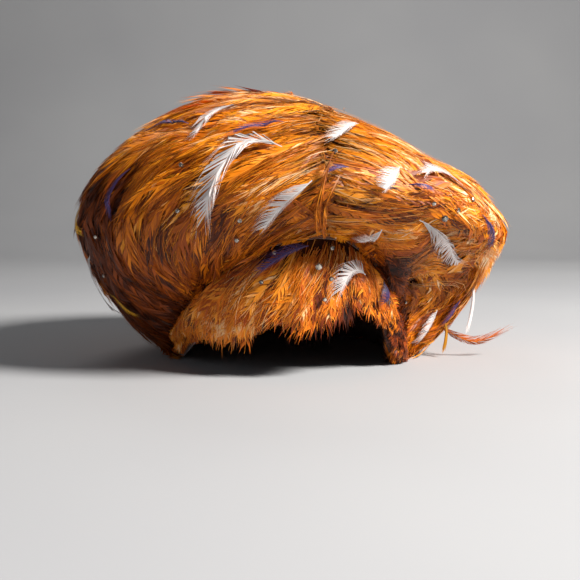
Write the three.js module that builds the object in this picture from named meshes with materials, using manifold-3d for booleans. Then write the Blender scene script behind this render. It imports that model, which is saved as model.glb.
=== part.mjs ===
// Felt hat with a full, lopsided crown, covered all over in hackle feathers.
// Millimetres, +Z up. The hat stands on the turned-down edge of its felt crown, at z = 0.
// The brow faces -Y, and the rolled lobe with the scooped underside lies towards +X.

import * as THREE from 'three';
import Module from 'manifold-3d';

const wasm = await Module();
wasm.setup();

// Main sizes
const CENTRE_X = -5;
const CENTRE_Y = 0;
const APEX_HEIGHT = 187;
const FELT = 3;
const GAP = 0.3;
const HEAD_HALF_WIDTH = 78;
const HEAD_HALF_LENGTH = 100;
const COAT = 7.5;
const COAT_AT_EDGE = 5;
const COAT_THINS_FROM = 1.3;
const EDGE_SLACK = 0.5;
const SLACK_FROM = 1.4;
const SLACK_FULL = 1.8;
const COLLAR_BELOW_COAT = 1.2;
const COLLAR_CLIMB = 25;
const EDGE_LOWEST = 1.2;
const SCOOP_LIP = 0.3;

// Locks of feathers on the crown: how far they stand out, and how they are laid
const LOCK_RELIEF = 4.6;
const LOCK_ROOT = 0.2;
const LOCK_SUNK = 0.45;
const LOCK_WIDTH = 15;
const LOCK_ROWS = 7;
const LOCK_STAGGER = 0.37;
const CALM_AT_TOP = 4;
const CALM_AT_EDGE = 5;
const PARTING = 283;
const SWIRL = 0.87;

// Brow feathers
const BROW_FROM = 210;
const BROW_TO = 328;
const BROW_THICKNESS = 8;
const BROW_RELIEF = 2;
const BROW_LOCK_WIDTH = 9;
const BROW_SWEEP = 14;
const BROW_ENDS = 0.12;
const BAND_ABOVE_TIPS = 5;
const BAND_CLIMB_LEFT = [190, 240];
const BAND_CLIMB_RIGHT = [314, 336];
const BAND_HEIGHT_INSIDE = 34;

// How finely the forms are divided
const FELT_COLUMNS = 36;
const FELT_ROWS = 15;
const LOCK_STEPS = 25;

// One row for each upright section through the crown, by its azimuth in degrees from +X.
// crest and height place the widest point; over and across shape the curve above it; edge
// is the height where the feathers end at the head; under rounds the underside, and scoop,
// from 0 to 1, hollows it towards the head.
const SECTIONS = [
  { azimuth: 0, crest: 152, height: 85, across: 1.2, over: 1.6, edge: 1.2, under: 1.4, scoop: 0 },
  { azimuth: 30, crest: 150, height: 85, across: 1.25, over: 1.65, edge: 1.2, under: 1.45, scoop: 0 },
  { azimuth: 60, crest: 146, height: 85, across: 1.5, over: 1.75, edge: 1.2, under: 1.5, scoop: 0 },
  { azimuth: 90, crest: 143, height: 85, across: 1.8, over: 1.85, edge: 1.2, under: 1.5, scoop: 0 },
  { azimuth: 120, crest: 145, height: 86, across: 1.9, over: 1.9, edge: 1.2, under: 1.5, scoop: 0 },
  { azimuth: 150, crest: 149, height: 88, across: 1.95, over: 1.9, edge: 1.2, under: 1.45, scoop: 0 },
  { azimuth: 182, crest: 152, height: 90, across: 2.05, over: 1.95, edge: 1.2, under: 1.45, scoop: 0 },
  { azimuth: 197, crest: 152, height: 92, across: 2.05, over: 1.95, edge: 8, under: 1.45, scoop: 0 },
  { azimuth: 211, crest: 151, height: 96, across: 2.1, over: 1.95, edge: 26, under: 1.4, scoop: 0 },
  { azimuth: 226, crest: 148, height: 102, across: 2.05, over: 1.95, edge: 50, under: 1.6, scoop: 0 },
  { azimuth: 246, crest: 144, height: 110, across: 2.05, over: 1.9, edge: 72, under: 1.8, scoop: 0 },
  { azimuth: 270, crest: 142, height: 118, across: 1.85, over: 1.85, edge: 88, under: 2, scoop: 0 },
  { azimuth: 293, crest: 144, height: 117, across: 1.55, over: 1.75, edge: 87, under: 1.9, scoop: 0 },
  { azimuth: 307, crest: 148, height: 110, across: 1.35, over: 1.65, edge: 66, under: 1.7, scoop: 0.15 },
  { azimuth: 318, crest: 150, height: 103, across: 1.25, over: 1.6, edge: 42, under: 1.5, scoop: 0.6 },
  { azimuth: 328, crest: 152, height: 96, across: 1.2, over: 1.6, edge: 8, under: 1.5, scoop: 0.95 },
  { azimuth: 338, crest: 153, height: 90, across: 1.2, over: 1.6, edge: 1.2, under: 1.5, scoop: 0.8 },
  { azimuth: 350, crest: 154, height: 86, across: 1.2, over: 1.6, edge: 1.2, under: 1.45, scoop: 0.2 },
];

// Swells and dents of the top: centre, reach and height. They are twice as long from front to
// back as they are wide, and fade out near the crest.
const SWELLS = [
  { x: -58, y: -20, reach: 30, height: 5 },
  { x: 82, y: -10, reach: 15, height: -7 },
  { x: 120, y: -10, reach: 22, height: 5 },
];
const SWELL_LENGTH = 2;
const SWELL_FADE = 4;

// Where the brow feathers end, by azimuth
const BROW_TIPS = [
  { azimuth: 212, height: 15 },
  { azimuth: 226, height: 19 },
  { azimuth: 244, height: 21 },
  { azimuth: 264, height: 29 },
  { azimuth: 280, height: 38 },
  { azimuth: 290, height: 47 },
  { azimuth: 304, height: 46 },
  { azimuth: 314, height: 30 },
  { azimuth: 322, height: 14 },
  { azimuth: 328, height: 2.5 },
];

// Single feathers laid on the coat, in three colours. from, by and to are [azimuth, way
// down], where the way down runs from 0 at the top of the crown through 1 at its crest to 2
// at the head, and on the brow from 0 at the crease to 1 at the tips.
const PLUMES = [
  { colour: 'white', on: 'crown', from: [248, 0.45], by: [244, 0.54], to: [242, 0.68], width: 9 },
  { colour: 'white', on: 'crown', from: [268, 0.76], by: [255, 0.8], to: [249, 1.36], width: 17 },
  { colour: 'white', on: 'crown', from: [275, 0.95], by: [268, 1.18], to: [262, 1.55], width: 10 },
  { colour: 'white', on: 'crown', from: [295, 0.55], by: [288, 0.62], to: [279, 0.73], width: 10 },
  { colour: 'white', on: 'crown', from: [298, 0.82], by: [294, 0.92], to: [291, 1.02], width: 12 },
  { colour: 'white', on: 'crown', from: [318, 0.83], by: [310, 0.78], to: [303, 0.87], width: 9 },
  { colour: 'white', on: 'crown', from: [303, 1.22], by: [320, 1.21], to: [339, 1.21], width: 13 },
  { colour: 'white', on: 'crown', from: [204, 1.22], by: [197, 1.33], to: [192, 1.55], width: 7 },
  { colour: 'white', on: 'crown', from: [344, 1.48], by: [343, 1.58], to: [341, 1.75], width: 7 },
  { colour: 'white', on: 'crown', from: [294, 1.45], by: [293, 1.62], to: [291, 1.82], width: 8 },
  { colour: 'white', on: 'brow', from: [296, 0.44], by: [290, 0.46], to: [285, 0.84], width: 12 },
  { colour: 'purple', on: 'crown', from: [238, 0.58], by: [225, 0.54], to: [214, 0.56], width: 6 },
  { colour: 'purple', on: 'crown', from: [268, 0.62], by: [261, 0.63], to: [252, 0.69], width: 6 },
  { colour: 'purple', on: 'crown', from: [284, 0.86], by: [281, 0.88], to: [278, 0.91], width: 4 },
  { colour: 'purple', on: 'crown', from: [226, 0.78], by: [223, 0.88], to: [222, 1.02], width: 6 },
  { colour: 'purple', on: 'crown', from: [299, 0.92], by: [302, 0.92], to: [305, 0.93], width: 4 },
  { colour: 'purple', on: 'crown', from: [323, 0.95], by: [328, 1.05], to: [338, 1.11], width: 7 },
  { colour: 'purple', on: 'crown', from: [349, 1.42], by: [349, 1.5], to: [348, 1.59], width: 5 },
  { colour: 'purple', on: 'brow', from: [276, 0.06], by: [268, 0.12], to: [258, 0.28], width: 8 },
  { colour: 'purple', on: 'brow', from: [306, 0.25], by: [307, 0.55], to: [305, 0.96], width: 8 },
  { colour: 'gold', on: 'crown', from: [204, 0.86], by: [205, 0.97], to: [207, 1.1], width: 9 },
  { colour: 'gold', on: 'crown', from: [202, 1.44], by: [204, 1.54], to: [207, 1.64], width: 7 },
];
const PLUME_STEPS = 5;
const PLUME_RISE = 1.7;
const PLUME_CAMBER = 0.85;
const PLUME_DEPTH = 1.5;
const PLUME_ENDS = 0.16;
const PLUME_FULLNESS = [0.1, 0.92];

// Cut stones glued among the feathers: where they sit, and how wide they are
const STONES = [
  { on: 'crown', at: [281, 0.79], width: 3.2 },
  { on: 'crown', at: [258, 1.28], width: 3 },
  { on: 'crown', at: [256, 1.52], width: 3.4 },
  { on: 'crown', at: [309, 1.11], width: 4.6 },
  { on: 'crown', at: [313, 1], width: 3.2 },
  { on: 'crown', at: [305, 1.02], width: 3 },
  { on: 'crown', at: [243, 0.81], width: 3 },
  { on: 'crown', at: [215, 1.13], width: 3 },
  { on: 'crown', at: [206, 1.36], width: 3 },
  { on: 'crown', at: [322, 0.87], width: 3 },
  { on: 'crown', at: [243, 1.06], width: 3 },
  { on: 'crown', at: [325, 1.55], width: 3 },
  { on: 'brow', at: [279, 0.32], width: 5 },
  { on: 'brow', at: [265, 0.06], width: 3.2 },
  { on: 'brow', at: [261, 0.36], width: 3 },
  { on: 'brow', at: [284, 0.1], width: 3.4 },
  { on: 'brow', at: [283, 0.5], width: 3.2 },
  { on: 'brow', at: [281, 0.74], width: 3 },
];
const STONE_SIDES = 8;
const STONE_TABLE = 0.55;
const STONE_GIRDLE_RISE = 1.4;
const STONE_CROWN_RISE = 0.35;
const STONE_DEPTH = 1.2;

// The loose plume that trails from the lobe: half its width, its root on the coat, and the
// points that it passes through, from its root on
const TRAIL_HALF_WIDTH = 2.6;
const TRAIL_ROOT = [352, 1.62];
const TRAIL_POINTS = [
  [-1, 0, 2],
  [8, -3, -4],
  [26, -4, -9],
  [51, -2, 2],
];
const TRAIL_STEPS = 9;
const TRAIL_SIDES = 6;
const TRAIL_TAPER = 0.8;

const FINISHES = {
  felt: { color: 0x4a2410, roughness: 0.95, metalness: 0 },
  orange: { color: 0xd27a16, roughness: 0.7, metalness: 0 },
  rust: { color: 0xb8600f, roughness: 0.7, metalness: 0 },
  white: { color: 0xe6e0dc, roughness: 0.6, metalness: 0 },
  purple: { color: 0x46326e, roughness: 0.6, metalness: 0 },
  gold: { color: 0xd99a1c, roughness: 0.6, metalness: 0 },
  stone: { color: 0xcfd8e0, roughness: 0.1, metalness: 0.2 },
};

const TURN = 360;
const radians = THREE.MathUtils.degToRad;

// A smooth closed curve through a column of the section table
function sectionValue(azimuth, column) {
  const at = THREE.MathUtils.euclideanModulo(azimuth, TURN);
  const count = SECTIONS.length;
  const row = (i) => SECTIONS[THREE.MathUtils.euclideanModulo(i, count)];
  const place = (i) => row(i).azimuth + TURN * Math.floor(i / count);
  const slope = (i) => (row(i + 1)[column] - row(i - 1)[column]) / (place(i + 1) - place(i - 1));
  let i = count - 1;
  while (place(i) > at) i -= 1;
  const span = place(i + 1) - place(i);
  const t = (at - place(i)) / span;
  const ease = t * t * (3 - 2 * t);
  return row(i)[column] * (1 - ease) + row(i + 1)[column] * ease
    + slope(i) * span * t * (1 - t) * (1 - t) - slope(i + 1) * span * t * t * (1 - t);
}

// Distance from the centre to an ellipse round the head, at an azimuth
function headRadius(azimuth, outwards) {
  const a = Math.cos(radians(azimuth)) / (HEAD_HALF_WIDTH + outwards);
  const b = Math.sin(radians(azimuth)) / (HEAD_HALF_LENGTH + outwards);
  return 1 / Math.hypot(a, b);
}

// The edge runs straight between the felt's columns
function edgeHeight(azimuth) {
  const column = TURN / FELT_COLUMNS;
  const start = Math.floor(azimuth / column) * column;
  const [near, far] = [start, start + column].map((at) => (
    Math.max(EDGE_LOWEST, sectionValue(at, 'edge'))
  ));
  return THREE.MathUtils.lerp(near, far, (azimuth - start) / column);
}

function polar(azimuth, radius, height) {
  const a = radians(azimuth);
  return new THREE.Vector3(CENTRE_X + radius * Math.cos(a), CENTRE_Y + radius * Math.sin(a), height);
}

// The smooth form under the locks. down is 0 at the apex, 1 at the crest, 2 at the head.
function crownPoint(azimuth, down) {
  const crest = sectionValue(azimuth, 'crest');
  const crestHeight = sectionValue(azimuth, 'height');
  if (down > 1) {
    const b = (Math.min(down, 2) - 1) * Math.PI / 2;
    const power = 2 / sectionValue(azimuth, 'under');
    const edge = headRadius(azimuth, 2 * FELT + 2 * GAP);
    const fall = Math.sin(b) ** power;
    const round = Math.max(0, Math.cos(b)) ** power;
    const hollow = Math.exp(-((fall / SCOOP_LIP) ** 2));
    const out = THREE.MathUtils.lerp(round, hollow, sectionValue(azimuth, 'scoop'));
    const height = THREE.MathUtils.lerp(crestHeight, edgeHeight(azimuth), fall);
    return polar(azimuth, THREE.MathUtils.lerp(edge, crest, out), height);
  }
  const a = Math.max(0, down) * Math.PI / 2;
  const radius = crest * Math.sin(a) ** (2 / sectionValue(azimuth, 'across'));
  const rise = Math.max(0, Math.cos(a)) ** (2 / sectionValue(azimuth, 'over'));
  const point = polar(azimuth, radius, crestHeight + (APEX_HEIGHT - crestHeight) * rise);
  for (const swell of SWELLS) {
    const apart = Math.hypot(point.x - swell.x, (point.y - swell.y) / SWELL_LENGTH) / swell.reach;
    point.z += swell.height * Math.exp(-apart * apart / 2) * Math.min(1, (1 - down) * SWELL_FADE);
  }
  return point;
}

// The direction out of the crown, square to its smooth form
function crownNormal(azimuth, down) {
  const step = 0.01;
  if (down < 2 * step) return new THREE.Vector3(0, 0, 1);
  const at = Math.min(down, 2 - 2 * step);
  const along = crownPoint(azimuth, at + step).sub(crownPoint(azimuth, at - step));
  const round = crownPoint(azimuth + 1, at).sub(crownPoint(azimuth - 1, at));
  return along.cross(round).normalize();
}

// Strands leave the parting and swirl away from it on their way down
function strandAzimuth(azimuth, down) {
  const half = Math.tan(radians(azimuth - PARTING) / 2) * Math.exp(-SWIRL * (down - 1));
  return PARTING + 2 * THREE.MathUtils.radToDeg(Math.atan(half));
}

// How far a lock stands out: round across its width, and rising to its tip
function crownRelief(azimuth, down) {
  const strand = strandAzimuth(azimuth, down) / LOCK_WIDTH;
  const lane = Math.floor(strand);
  const across = Math.sin(Math.PI * (strand - lane));
  const row = down * LOCK_ROWS / 2 + LOCK_STAGGER * THREE.MathUtils.euclideanModulo(lane, 3);
  const along = THREE.MathUtils.lerp(LOCK_ROOT, 1, row - Math.floor(row));
  const settled = Math.min(1, down * CALM_AT_TOP, (2 - down) * CALM_AT_EDGE);
  return LOCK_RELIEF * settled * (Math.sqrt(across) * along - LOCK_SUNK);
}

function coatPoint(azimuth, down, extra) {
  const out = crownRelief(azimuth, down) + extra;
  return crownPoint(azimuth, down).addScaledVector(crownNormal(azimuth, down), out);
}

function coatThickness(down) {
  return COAT + (COAT_AT_EDGE - COAT) * THREE.MathUtils.smoothstep(down, COAT_THINS_FROM, 2);
}

// A point of the felt, depth deeper than its outer face. Where it would come closer to the
// head than its edge, it stands upright beside the head and climbs steadily from the edge.
function feltPoint(azimuth, down, depth) {
  const normal = crownNormal(azimuth, down);
  const point = crownPoint(azimuth, down).addScaledVector(normal, -coatThickness(down) - depth);
  const from = Math.hypot(point.x - CENTRE_X, point.y - CENTRE_Y);
  const nearest = headRadius(azimuth, 2 * FELT + GAP - depth);
  if (down <= 1 || from >= nearest) return point;
  const lowest = edgeHeight(azimuth) + COAT_AT_EDGE + depth + COLLAR_CLIMB * (2 - down);
  return polar(azimuth, nearest, Math.max(point.z, lowest));
}

// Closed bodies

function triangulate(points, triangles) {
  const corners = triangles.flat().map((i) => points[i]);
  let volume = 0;
  for (let i = 0; i < corners.length; i += 3) {
    volume += corners[i].dot(corners[i + 1].clone().cross(corners[i + 2]));
  }
  const index = volume > 0 ? triangles.flat() : triangles.flatMap(([a, b, c]) => [a, c, b]);
  const geometry = new THREE.BufferGeometry();
  const positions = points.flatMap((p) => [p.x, p.y, p.z]);
  geometry.setAttribute('position', new THREE.Float32BufferAttribute(positions, 3));
  geometry.setIndex(index);
  return geometry;
}

// Rings of points joined one to the next; a ring of one point closes an end. A ring may have
// twice or half the points of its neighbour. From ring turnsBack on, the rings climb back, and
// the quads between them are split the other way, so that both faces of a wall match.
function loft(rings, turnsBack = rings.length) {
  const points = rings.flat();
  const starts = [];
  let total = 0;
  for (const ring of rings) {
    starts.push(total);
    total += ring.length;
  }
  const triangles = [];
  for (let r = 0; r + 1 < rings.length; r += 1) {
    const near = rings[r].length;
    const far = rings[r + 1].length;
    const fine = Math.max(near, far);
    const nearAt = (i) => starts[r] + Math.floor(i * near / fine) % near;
    const farAt = (i) => starts[r + 1] + Math.floor(i * far / fine) % far;
    for (let i = 0; i < fine; i += 1) {
      const [farSide, nearSide] = r < turnsBack ? [i, i + 1] : [i + 1, i];
      if (nearAt(i) !== nearAt(i + 1)) triangles.push([nearAt(i), farAt(farSide), nearAt(i + 1)]);
      if (farAt(i) !== farAt(i + 1)) triangles.push([nearAt(nearSide), farAt(i), farAt(i + 1)]);
    }
  }
  return triangulate(points, triangles);
}

// A slab between two grids of the same shape, closed round its rim
function slab(outer, inner) {
  const rows = outer.length;
  const columns = outer[0].length;
  const points = [...outer.flat(), ...inner.flat()];
  const top = (r, c) => r * columns + c;
  const under = (r, c) => rows * columns + top(r, c);
  const triangles = [];
  const quad = (a, b, c, d) => triangles.push([a, b, c], [a, c, d]);
  for (let r = 0; r + 1 < rows; r += 1) {
    for (let c = 0; c + 1 < columns; c += 1) {
      quad(top(r, c), top(r, c + 1), top(r + 1, c + 1), top(r + 1, c));
      quad(under(r, c), under(r + 1, c), under(r + 1, c + 1), under(r, c + 1));
    }
    quad(top(r, 0), top(r + 1, 0), under(r + 1, 0), under(r, 0));
    const last = columns - 1;
    quad(top(r, last), under(r, last), under(r + 1, last), top(r + 1, last));
  }
  for (let c = 0; c + 1 < columns; c += 1) {
    quad(top(0, c), under(0, c), under(0, c + 1), top(0, c + 1));
    const last = rows - 1;
    quad(top(last, c), top(last, c + 1), under(last, c + 1), under(last, c));
  }
  return triangulate(points, triangles);
}

function asSolid(geometry) {
  const vertProperties = new Float32Array(geometry.attributes.position.array);
  const triVerts = new Uint32Array(geometry.index.array);
  return new wasm.Manifold(new wasm.Mesh({ numProp: 3, vertProperties, triVerts }));
}

function asGeometry(solid) {
  const mesh = solid.getMesh();
  const geometry = new THREE.BufferGeometry();
  geometry.setAttribute('position', new THREE.Float32BufferAttribute(mesh.vertProperties, 3));
  geometry.setIndex(new THREE.Uint32BufferAttribute(mesh.triVerts, 1));
  return geometry;
}

function circle(count, at) {
  return Array.from({ length: count }, (_, i) => at(i * TURN / count));
}

function steps(count, from, to) {
  return Array.from({ length: count + 1 }, (_, i) => from + (to - from) * i / count);
}

// Felt crown: a wall over the head whose edge is turned down beside the band

function feltCrown() {
  const downs = steps(FELT_ROWS, 0, 2).slice(1);
  const ring = (down, depth) => circle(FELT_COLUMNS, (azimuth) => feltPoint(azimuth, down, depth));
  const edge = (depth) => circle(FELT_COLUMNS, (azimuth) => (
    polar(azimuth, headRadius(azimuth, 2 * FELT + GAP - depth), edgeHeight(azimuth) - COLLAR_BELOW_COAT)
  ));
  return loft([
    [feltPoint(0, 0, 0)],
    ...downs.map((down) => ring(down, 0)),
    edge(0),
    edge(FELT),
    ...downs.reverse().map((down) => ring(down, FELT)),
    [feltPoint(0, 0, FELT)],
  ], FELT_ROWS + 2);
}

// The coat lies a little looser where it turns in under the crown
function feltGap(down) {
  return GAP + EDGE_SLACK * THREE.MathUtils.smoothstep(down, SLACK_FROM, SLACK_FULL);
}

// Feather coat of the crown, in locks over a face that lies on the felt
function crownFeathers(extra) {
  const inner = steps(FELT_ROWS, 0, 2).slice(1).reverse();
  const outer = steps(LOCK_STEPS, 0, 2).slice(1);
  return loft([
    [coatPoint(0, 0, extra)],
    ...outer.map((down) => circle(2 * FELT_COLUMNS, (azimuth) => coatPoint(azimuth, down, extra))),
    ...inner.map((down) => circle(FELT_COLUMNS, (azimuth) => feltPoint(azimuth, down, -feltGap(down)))),
    [feltPoint(0, 0, -GAP)],
  ], LOCK_STEPS + 1);
}

// Head band and the brow feathers on it

function tipHeight(azimuth) {
  const next = BROW_TIPS.findIndex((row) => row.azimuth >= azimuth);
  if (next === 0) return BROW_TIPS[0].height;
  if (next < 0) return BROW_TIPS[BROW_TIPS.length - 1].height;
  const before = BROW_TIPS[next - 1];
  const after = BROW_TIPS[next];
  const t = (azimuth - before.azimuth) / (after.azimuth - before.azimuth);
  return before.height + (after.height - before.height) * t;
}

function headBand() {
  const low = (azimuth) => {
    const rise = THREE.MathUtils.smoothstep(azimuth, ...BAND_CLIMB_LEFT)
      * (1 - THREE.MathUtils.smoothstep(azimuth, ...BAND_CLIMB_RIGHT));
    return GAP + rise * (tipHeight(azimuth) + BAND_ABOVE_TIPS - GAP);
  };
  const high = (azimuth) => Math.max(BAND_HEIGHT_INSIDE, edgeHeight(azimuth) + COAT_AT_EDGE);
  const ring = (outwards, height) => circle(FELT_COLUMNS, (azimuth) => (
    polar(azimuth, headRadius(azimuth, outwards), height(azimuth))
  ));
  const rings = [ring(0, low), ring(FELT, low), ring(FELT, high), ring(0, high)];
  return loft([...rings, rings[0]]);
}

function browPoint(azimuth, down, outwards) {
  const high = edgeHeight(azimuth) - COLLAR_BELOW_COAT - GAP;
  const tip = tipHeight(azimuth);
  return polar(azimuth, headRadius(azimuth, FELT + GAP + outwards), high + (tip - high) * down);
}

function browRelief(azimuth, down, extra) {
  const sweep = BROW_SWEEP * down * Math.sin(radians(azimuth - PARTING));
  const across = Math.abs(Math.sin(Math.PI * (azimuth - sweep) / BROW_LOCK_WIDTH));
  const full = Math.sin(Math.PI * THREE.MathUtils.lerp(BROW_ENDS, 1 - BROW_ENDS, down));
  return BROW_THICKNESS * full + BROW_RELIEF * across * down + extra;
}

function browFeathers(extra) {
  const azimuths = steps(33, BROW_FROM, BROW_TO);
  const downs = steps(6, 0, 1);
  const grid = (at) => azimuths.map((azimuth) => downs.map((down) => at(azimuth, down)));
  const outer = grid((azimuth, down) => browPoint(azimuth, down, browRelief(azimuth, down, extra)));
  return slab(outer, grid((azimuth, down) => browPoint(azimuth, down, 0)));
}

// Pieces that lie on the feathers

const SURFACES = {
  crown: {
    point: (azimuth, down, out) => coatPoint(azimuth, down, out),
    normal: crownNormal,
  },
  brow: {
    point: (azimuth, down, out) => browPoint(azimuth, down, browRelief(azimuth, down, out)),
    normal: (azimuth) => polar(azimuth, 1, 0).sub(polar(azimuth, 0, 0)),
  },
};

// A point on the bowed line through the three places of a plume
function bowed(plume, t) {
  const weights = [(1 - t) * (1 - 2 * t), 4 * t * (1 - t), t * (2 * t - 1)];
  return [0, 1].map((i) => (
    weights[0] * plume.from[i] + weights[1] * plume.by[i] + weights[2] * plume.to[i]
  ));
}

function middleOf(ring) {
  return ring.reduce((sum, p) => sum.add(p), new THREE.Vector3()).divideScalar(ring.length);
}

// Rings closed at both ends by their middle points
function closedLoft(rings) {
  return loft([[middleOf(rings[0])], ...rings, [middleOf(rings[rings.length - 1])]]);
}

function plumeSolid(plume) {
  const surface = SURFACES[plume.on];
  const line = (t) => surface.point(...bowed(plume, THREE.MathUtils.clamp(t, 0, 1)), 0);
  const step = 0.05;
  const rings = steps(PLUME_STEPS, 0, 1).map((t) => {
    const place = bowed(plume, t);
    const out = surface.normal(...place);
    const along = line(t + step).sub(line(t - step)).normalize();
    const full = Math.sin(Math.PI * THREE.MathUtils.lerp(...PLUME_FULLNESS, t));
    const half = plume.width / 2 * THREE.MathUtils.lerp(PLUME_ENDS, 1, full);
    const side = along.clone().cross(out).normalize().multiplyScalar(half);
    const middle = line(t);
    return [
      middle.clone().addScaledVector(out, PLUME_RISE + PLUME_CAMBER),
      middle.clone().add(side).addScaledVector(out, PLUME_RISE),
      middle.clone().addScaledVector(out, -PLUME_DEPTH),
      middle.clone().sub(side).addScaledVector(out, PLUME_RISE),
    ];
  });
  return closedLoft(rings);
}

function stoneSolid(stone) {
  const surface = SURFACES[stone.on];
  const middle = surface.point(...stone.at, 0);
  const out = surface.normal(...stone.at);
  const upright = new THREE.Vector3(0, 0, 1);
  const turn = new THREE.Quaternion().setFromUnitVectors(upright, out);
  const ring = (radius, height) => circle(STONE_SIDES, (azimuth) => (
    new THREE.Vector3(radius * Math.cos(radians(azimuth)), radius * Math.sin(radians(azimuth)), height)
      .applyQuaternion(turn).add(middle)
  ));
  const half = stone.width / 2;
  const table = STONE_GIRDLE_RISE + STONE_CROWN_RISE * stone.width;
  const centre = (height) => [middle.clone().addScaledVector(out, height)];
  return loft([
    centre(table),
    ring(half * STONE_TABLE, table),
    ring(half, STONE_GIRDLE_RISE),
    ring(half * STONE_TABLE, -STONE_DEPTH),
    centre(-STONE_DEPTH),
  ]);
}

function trailingPlume() {
  const root = coatPoint(...TRAIL_ROOT, 0);
  const points = TRAIL_POINTS.map((offset) => new THREE.Vector3(...offset).add(root));
  const curve = new THREE.CatmullRomCurve3(points);
  const rings = steps(TRAIL_STEPS, 0, 1).map((t) => {
    const middle = curve.getPoint(t);
    const along = curve.getTangent(t);
    const out = new THREE.Vector3(0, -1, 0);
    const up = out.clone().cross(along).normalize();
    const half = TRAIL_HALF_WIDTH * (1 - TRAIL_TAPER * t);
    return circle(TRAIL_SIDES, (angle) => middle.clone()
      .addScaledVector(up, half * Math.cos(radians(angle)))
      .addScaledVector(out, half / 2 * Math.sin(radians(angle))));
  });
  return closedLoft(rings);
}

// Assembly

const hat = new THREE.Group();

function addPiece(name, geometry, finish) {
  const mesh = new THREE.Mesh(geometry, new THREE.MeshStandardMaterial(FINISHES[finish]));
  mesh.name = name;
  hat.add(mesh);
}

addPiece('felt_crown', feltCrown(), 'felt');
addPiece('head_band', headBand(), 'felt');
addPiece('crown_feathers', crownFeathers(0), 'orange');
addPiece('brow_feathers', browFeathers(0), 'rust');

// What lies on the feathers is cut to their relief and keeps the gap to them
const coats = asSolid(crownFeathers(GAP)).add(asSolid(browFeathers(GAP)));

for (const colour of ['white', 'purple', 'gold']) {
  PLUMES.filter((plume) => plume.colour === colour).forEach((plume, i) => {
    addPiece(`${colour}_feather_${i + 1}`, asGeometry(asSolid(plumeSolid(plume)).subtract(coats)), colour);
  });
}

STONES.forEach((stone, i) => {
  addPiece(`stone_${i + 1}`, asGeometry(asSolid(stoneSolid(stone)).subtract(coats)), 'stone');
});

addPiece('trailing_plume', asGeometry(asSolid(trailingPlume()).subtract(coats)), 'gold');

export default hat;
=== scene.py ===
"""Looks of the felt hat covered in hackle feathers, in metres, in the frame of its CAD part."""

import bpy
import numpy as np
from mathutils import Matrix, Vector


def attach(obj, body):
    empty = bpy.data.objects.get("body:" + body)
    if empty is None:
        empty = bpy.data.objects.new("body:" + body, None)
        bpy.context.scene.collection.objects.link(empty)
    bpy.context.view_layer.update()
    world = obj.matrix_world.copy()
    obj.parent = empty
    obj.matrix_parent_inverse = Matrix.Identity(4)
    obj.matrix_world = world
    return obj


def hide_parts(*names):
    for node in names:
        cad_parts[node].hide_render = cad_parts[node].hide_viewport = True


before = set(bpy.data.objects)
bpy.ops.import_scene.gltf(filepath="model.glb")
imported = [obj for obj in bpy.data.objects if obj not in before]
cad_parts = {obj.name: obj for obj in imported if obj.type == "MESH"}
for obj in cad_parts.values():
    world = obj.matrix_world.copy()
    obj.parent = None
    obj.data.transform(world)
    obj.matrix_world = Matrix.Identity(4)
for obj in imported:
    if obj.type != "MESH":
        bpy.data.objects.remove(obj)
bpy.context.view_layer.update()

MM = 0.001
TURN = 360.0

# Sizes of the hat's form, in millimetres
CENTRE_X = -5
APEX_HEIGHT = 187
FELT = 3
GAP = 0.3
HEAD_HALF_WIDTH = 78
HEAD_HALF_LENGTH = 100
COAT = 7.5
COAT_AT_EDGE = 5
COAT_THINS_FROM = 1.3
COLLAR_BELOW_COAT = 1.2
COLLAR_CLIMB = 25
EDGE_LOWEST = 1.2
EDGE_STEP = 10
EDGE_ROUND = 0.35
SCOOP_LIP = 0.3
LOCK_RELIEF = 4.6
LOCK_ROOT = 0.2
LOCK_SUNK = 0.45
LOCK_WIDTH = 15
LOCK_ROWS = 7
LOCK_STAGGER = 0.37
LOCKS_START = 4
LOCKS_END = 5
PARTING = 283
SWIRL = 0.87
BROW_FROM = 210
BROW_TO = 328
BROW_THICKNESS = 8
BROW_RELIEF = 2
BROW_LOCK_WIDTH = 9
BROW_SWEEP = 14
BROW_ENDS = 0.12
BAND_ABOVE_TIPS = 5
BAND_CLIMB_LEFT = (190, 240)
BAND_CLIMB_RIGHT = (314, 336)
BAND_HEIGHT_INSIDE = 34
BAND_ROUND = 0.8
GROUND_SUNK = 6.3
BROW_GROUND_SUNK = 2.2
BROW_GROUND_END = 3.5
FLOOR_CLEARANCE = 0.4
SAME_POINT = 1e-6


def columns(names, rows):
    """A table as one array for each named column."""
    return dict(zip(names.split(), np.array(rows, float).T))


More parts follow.
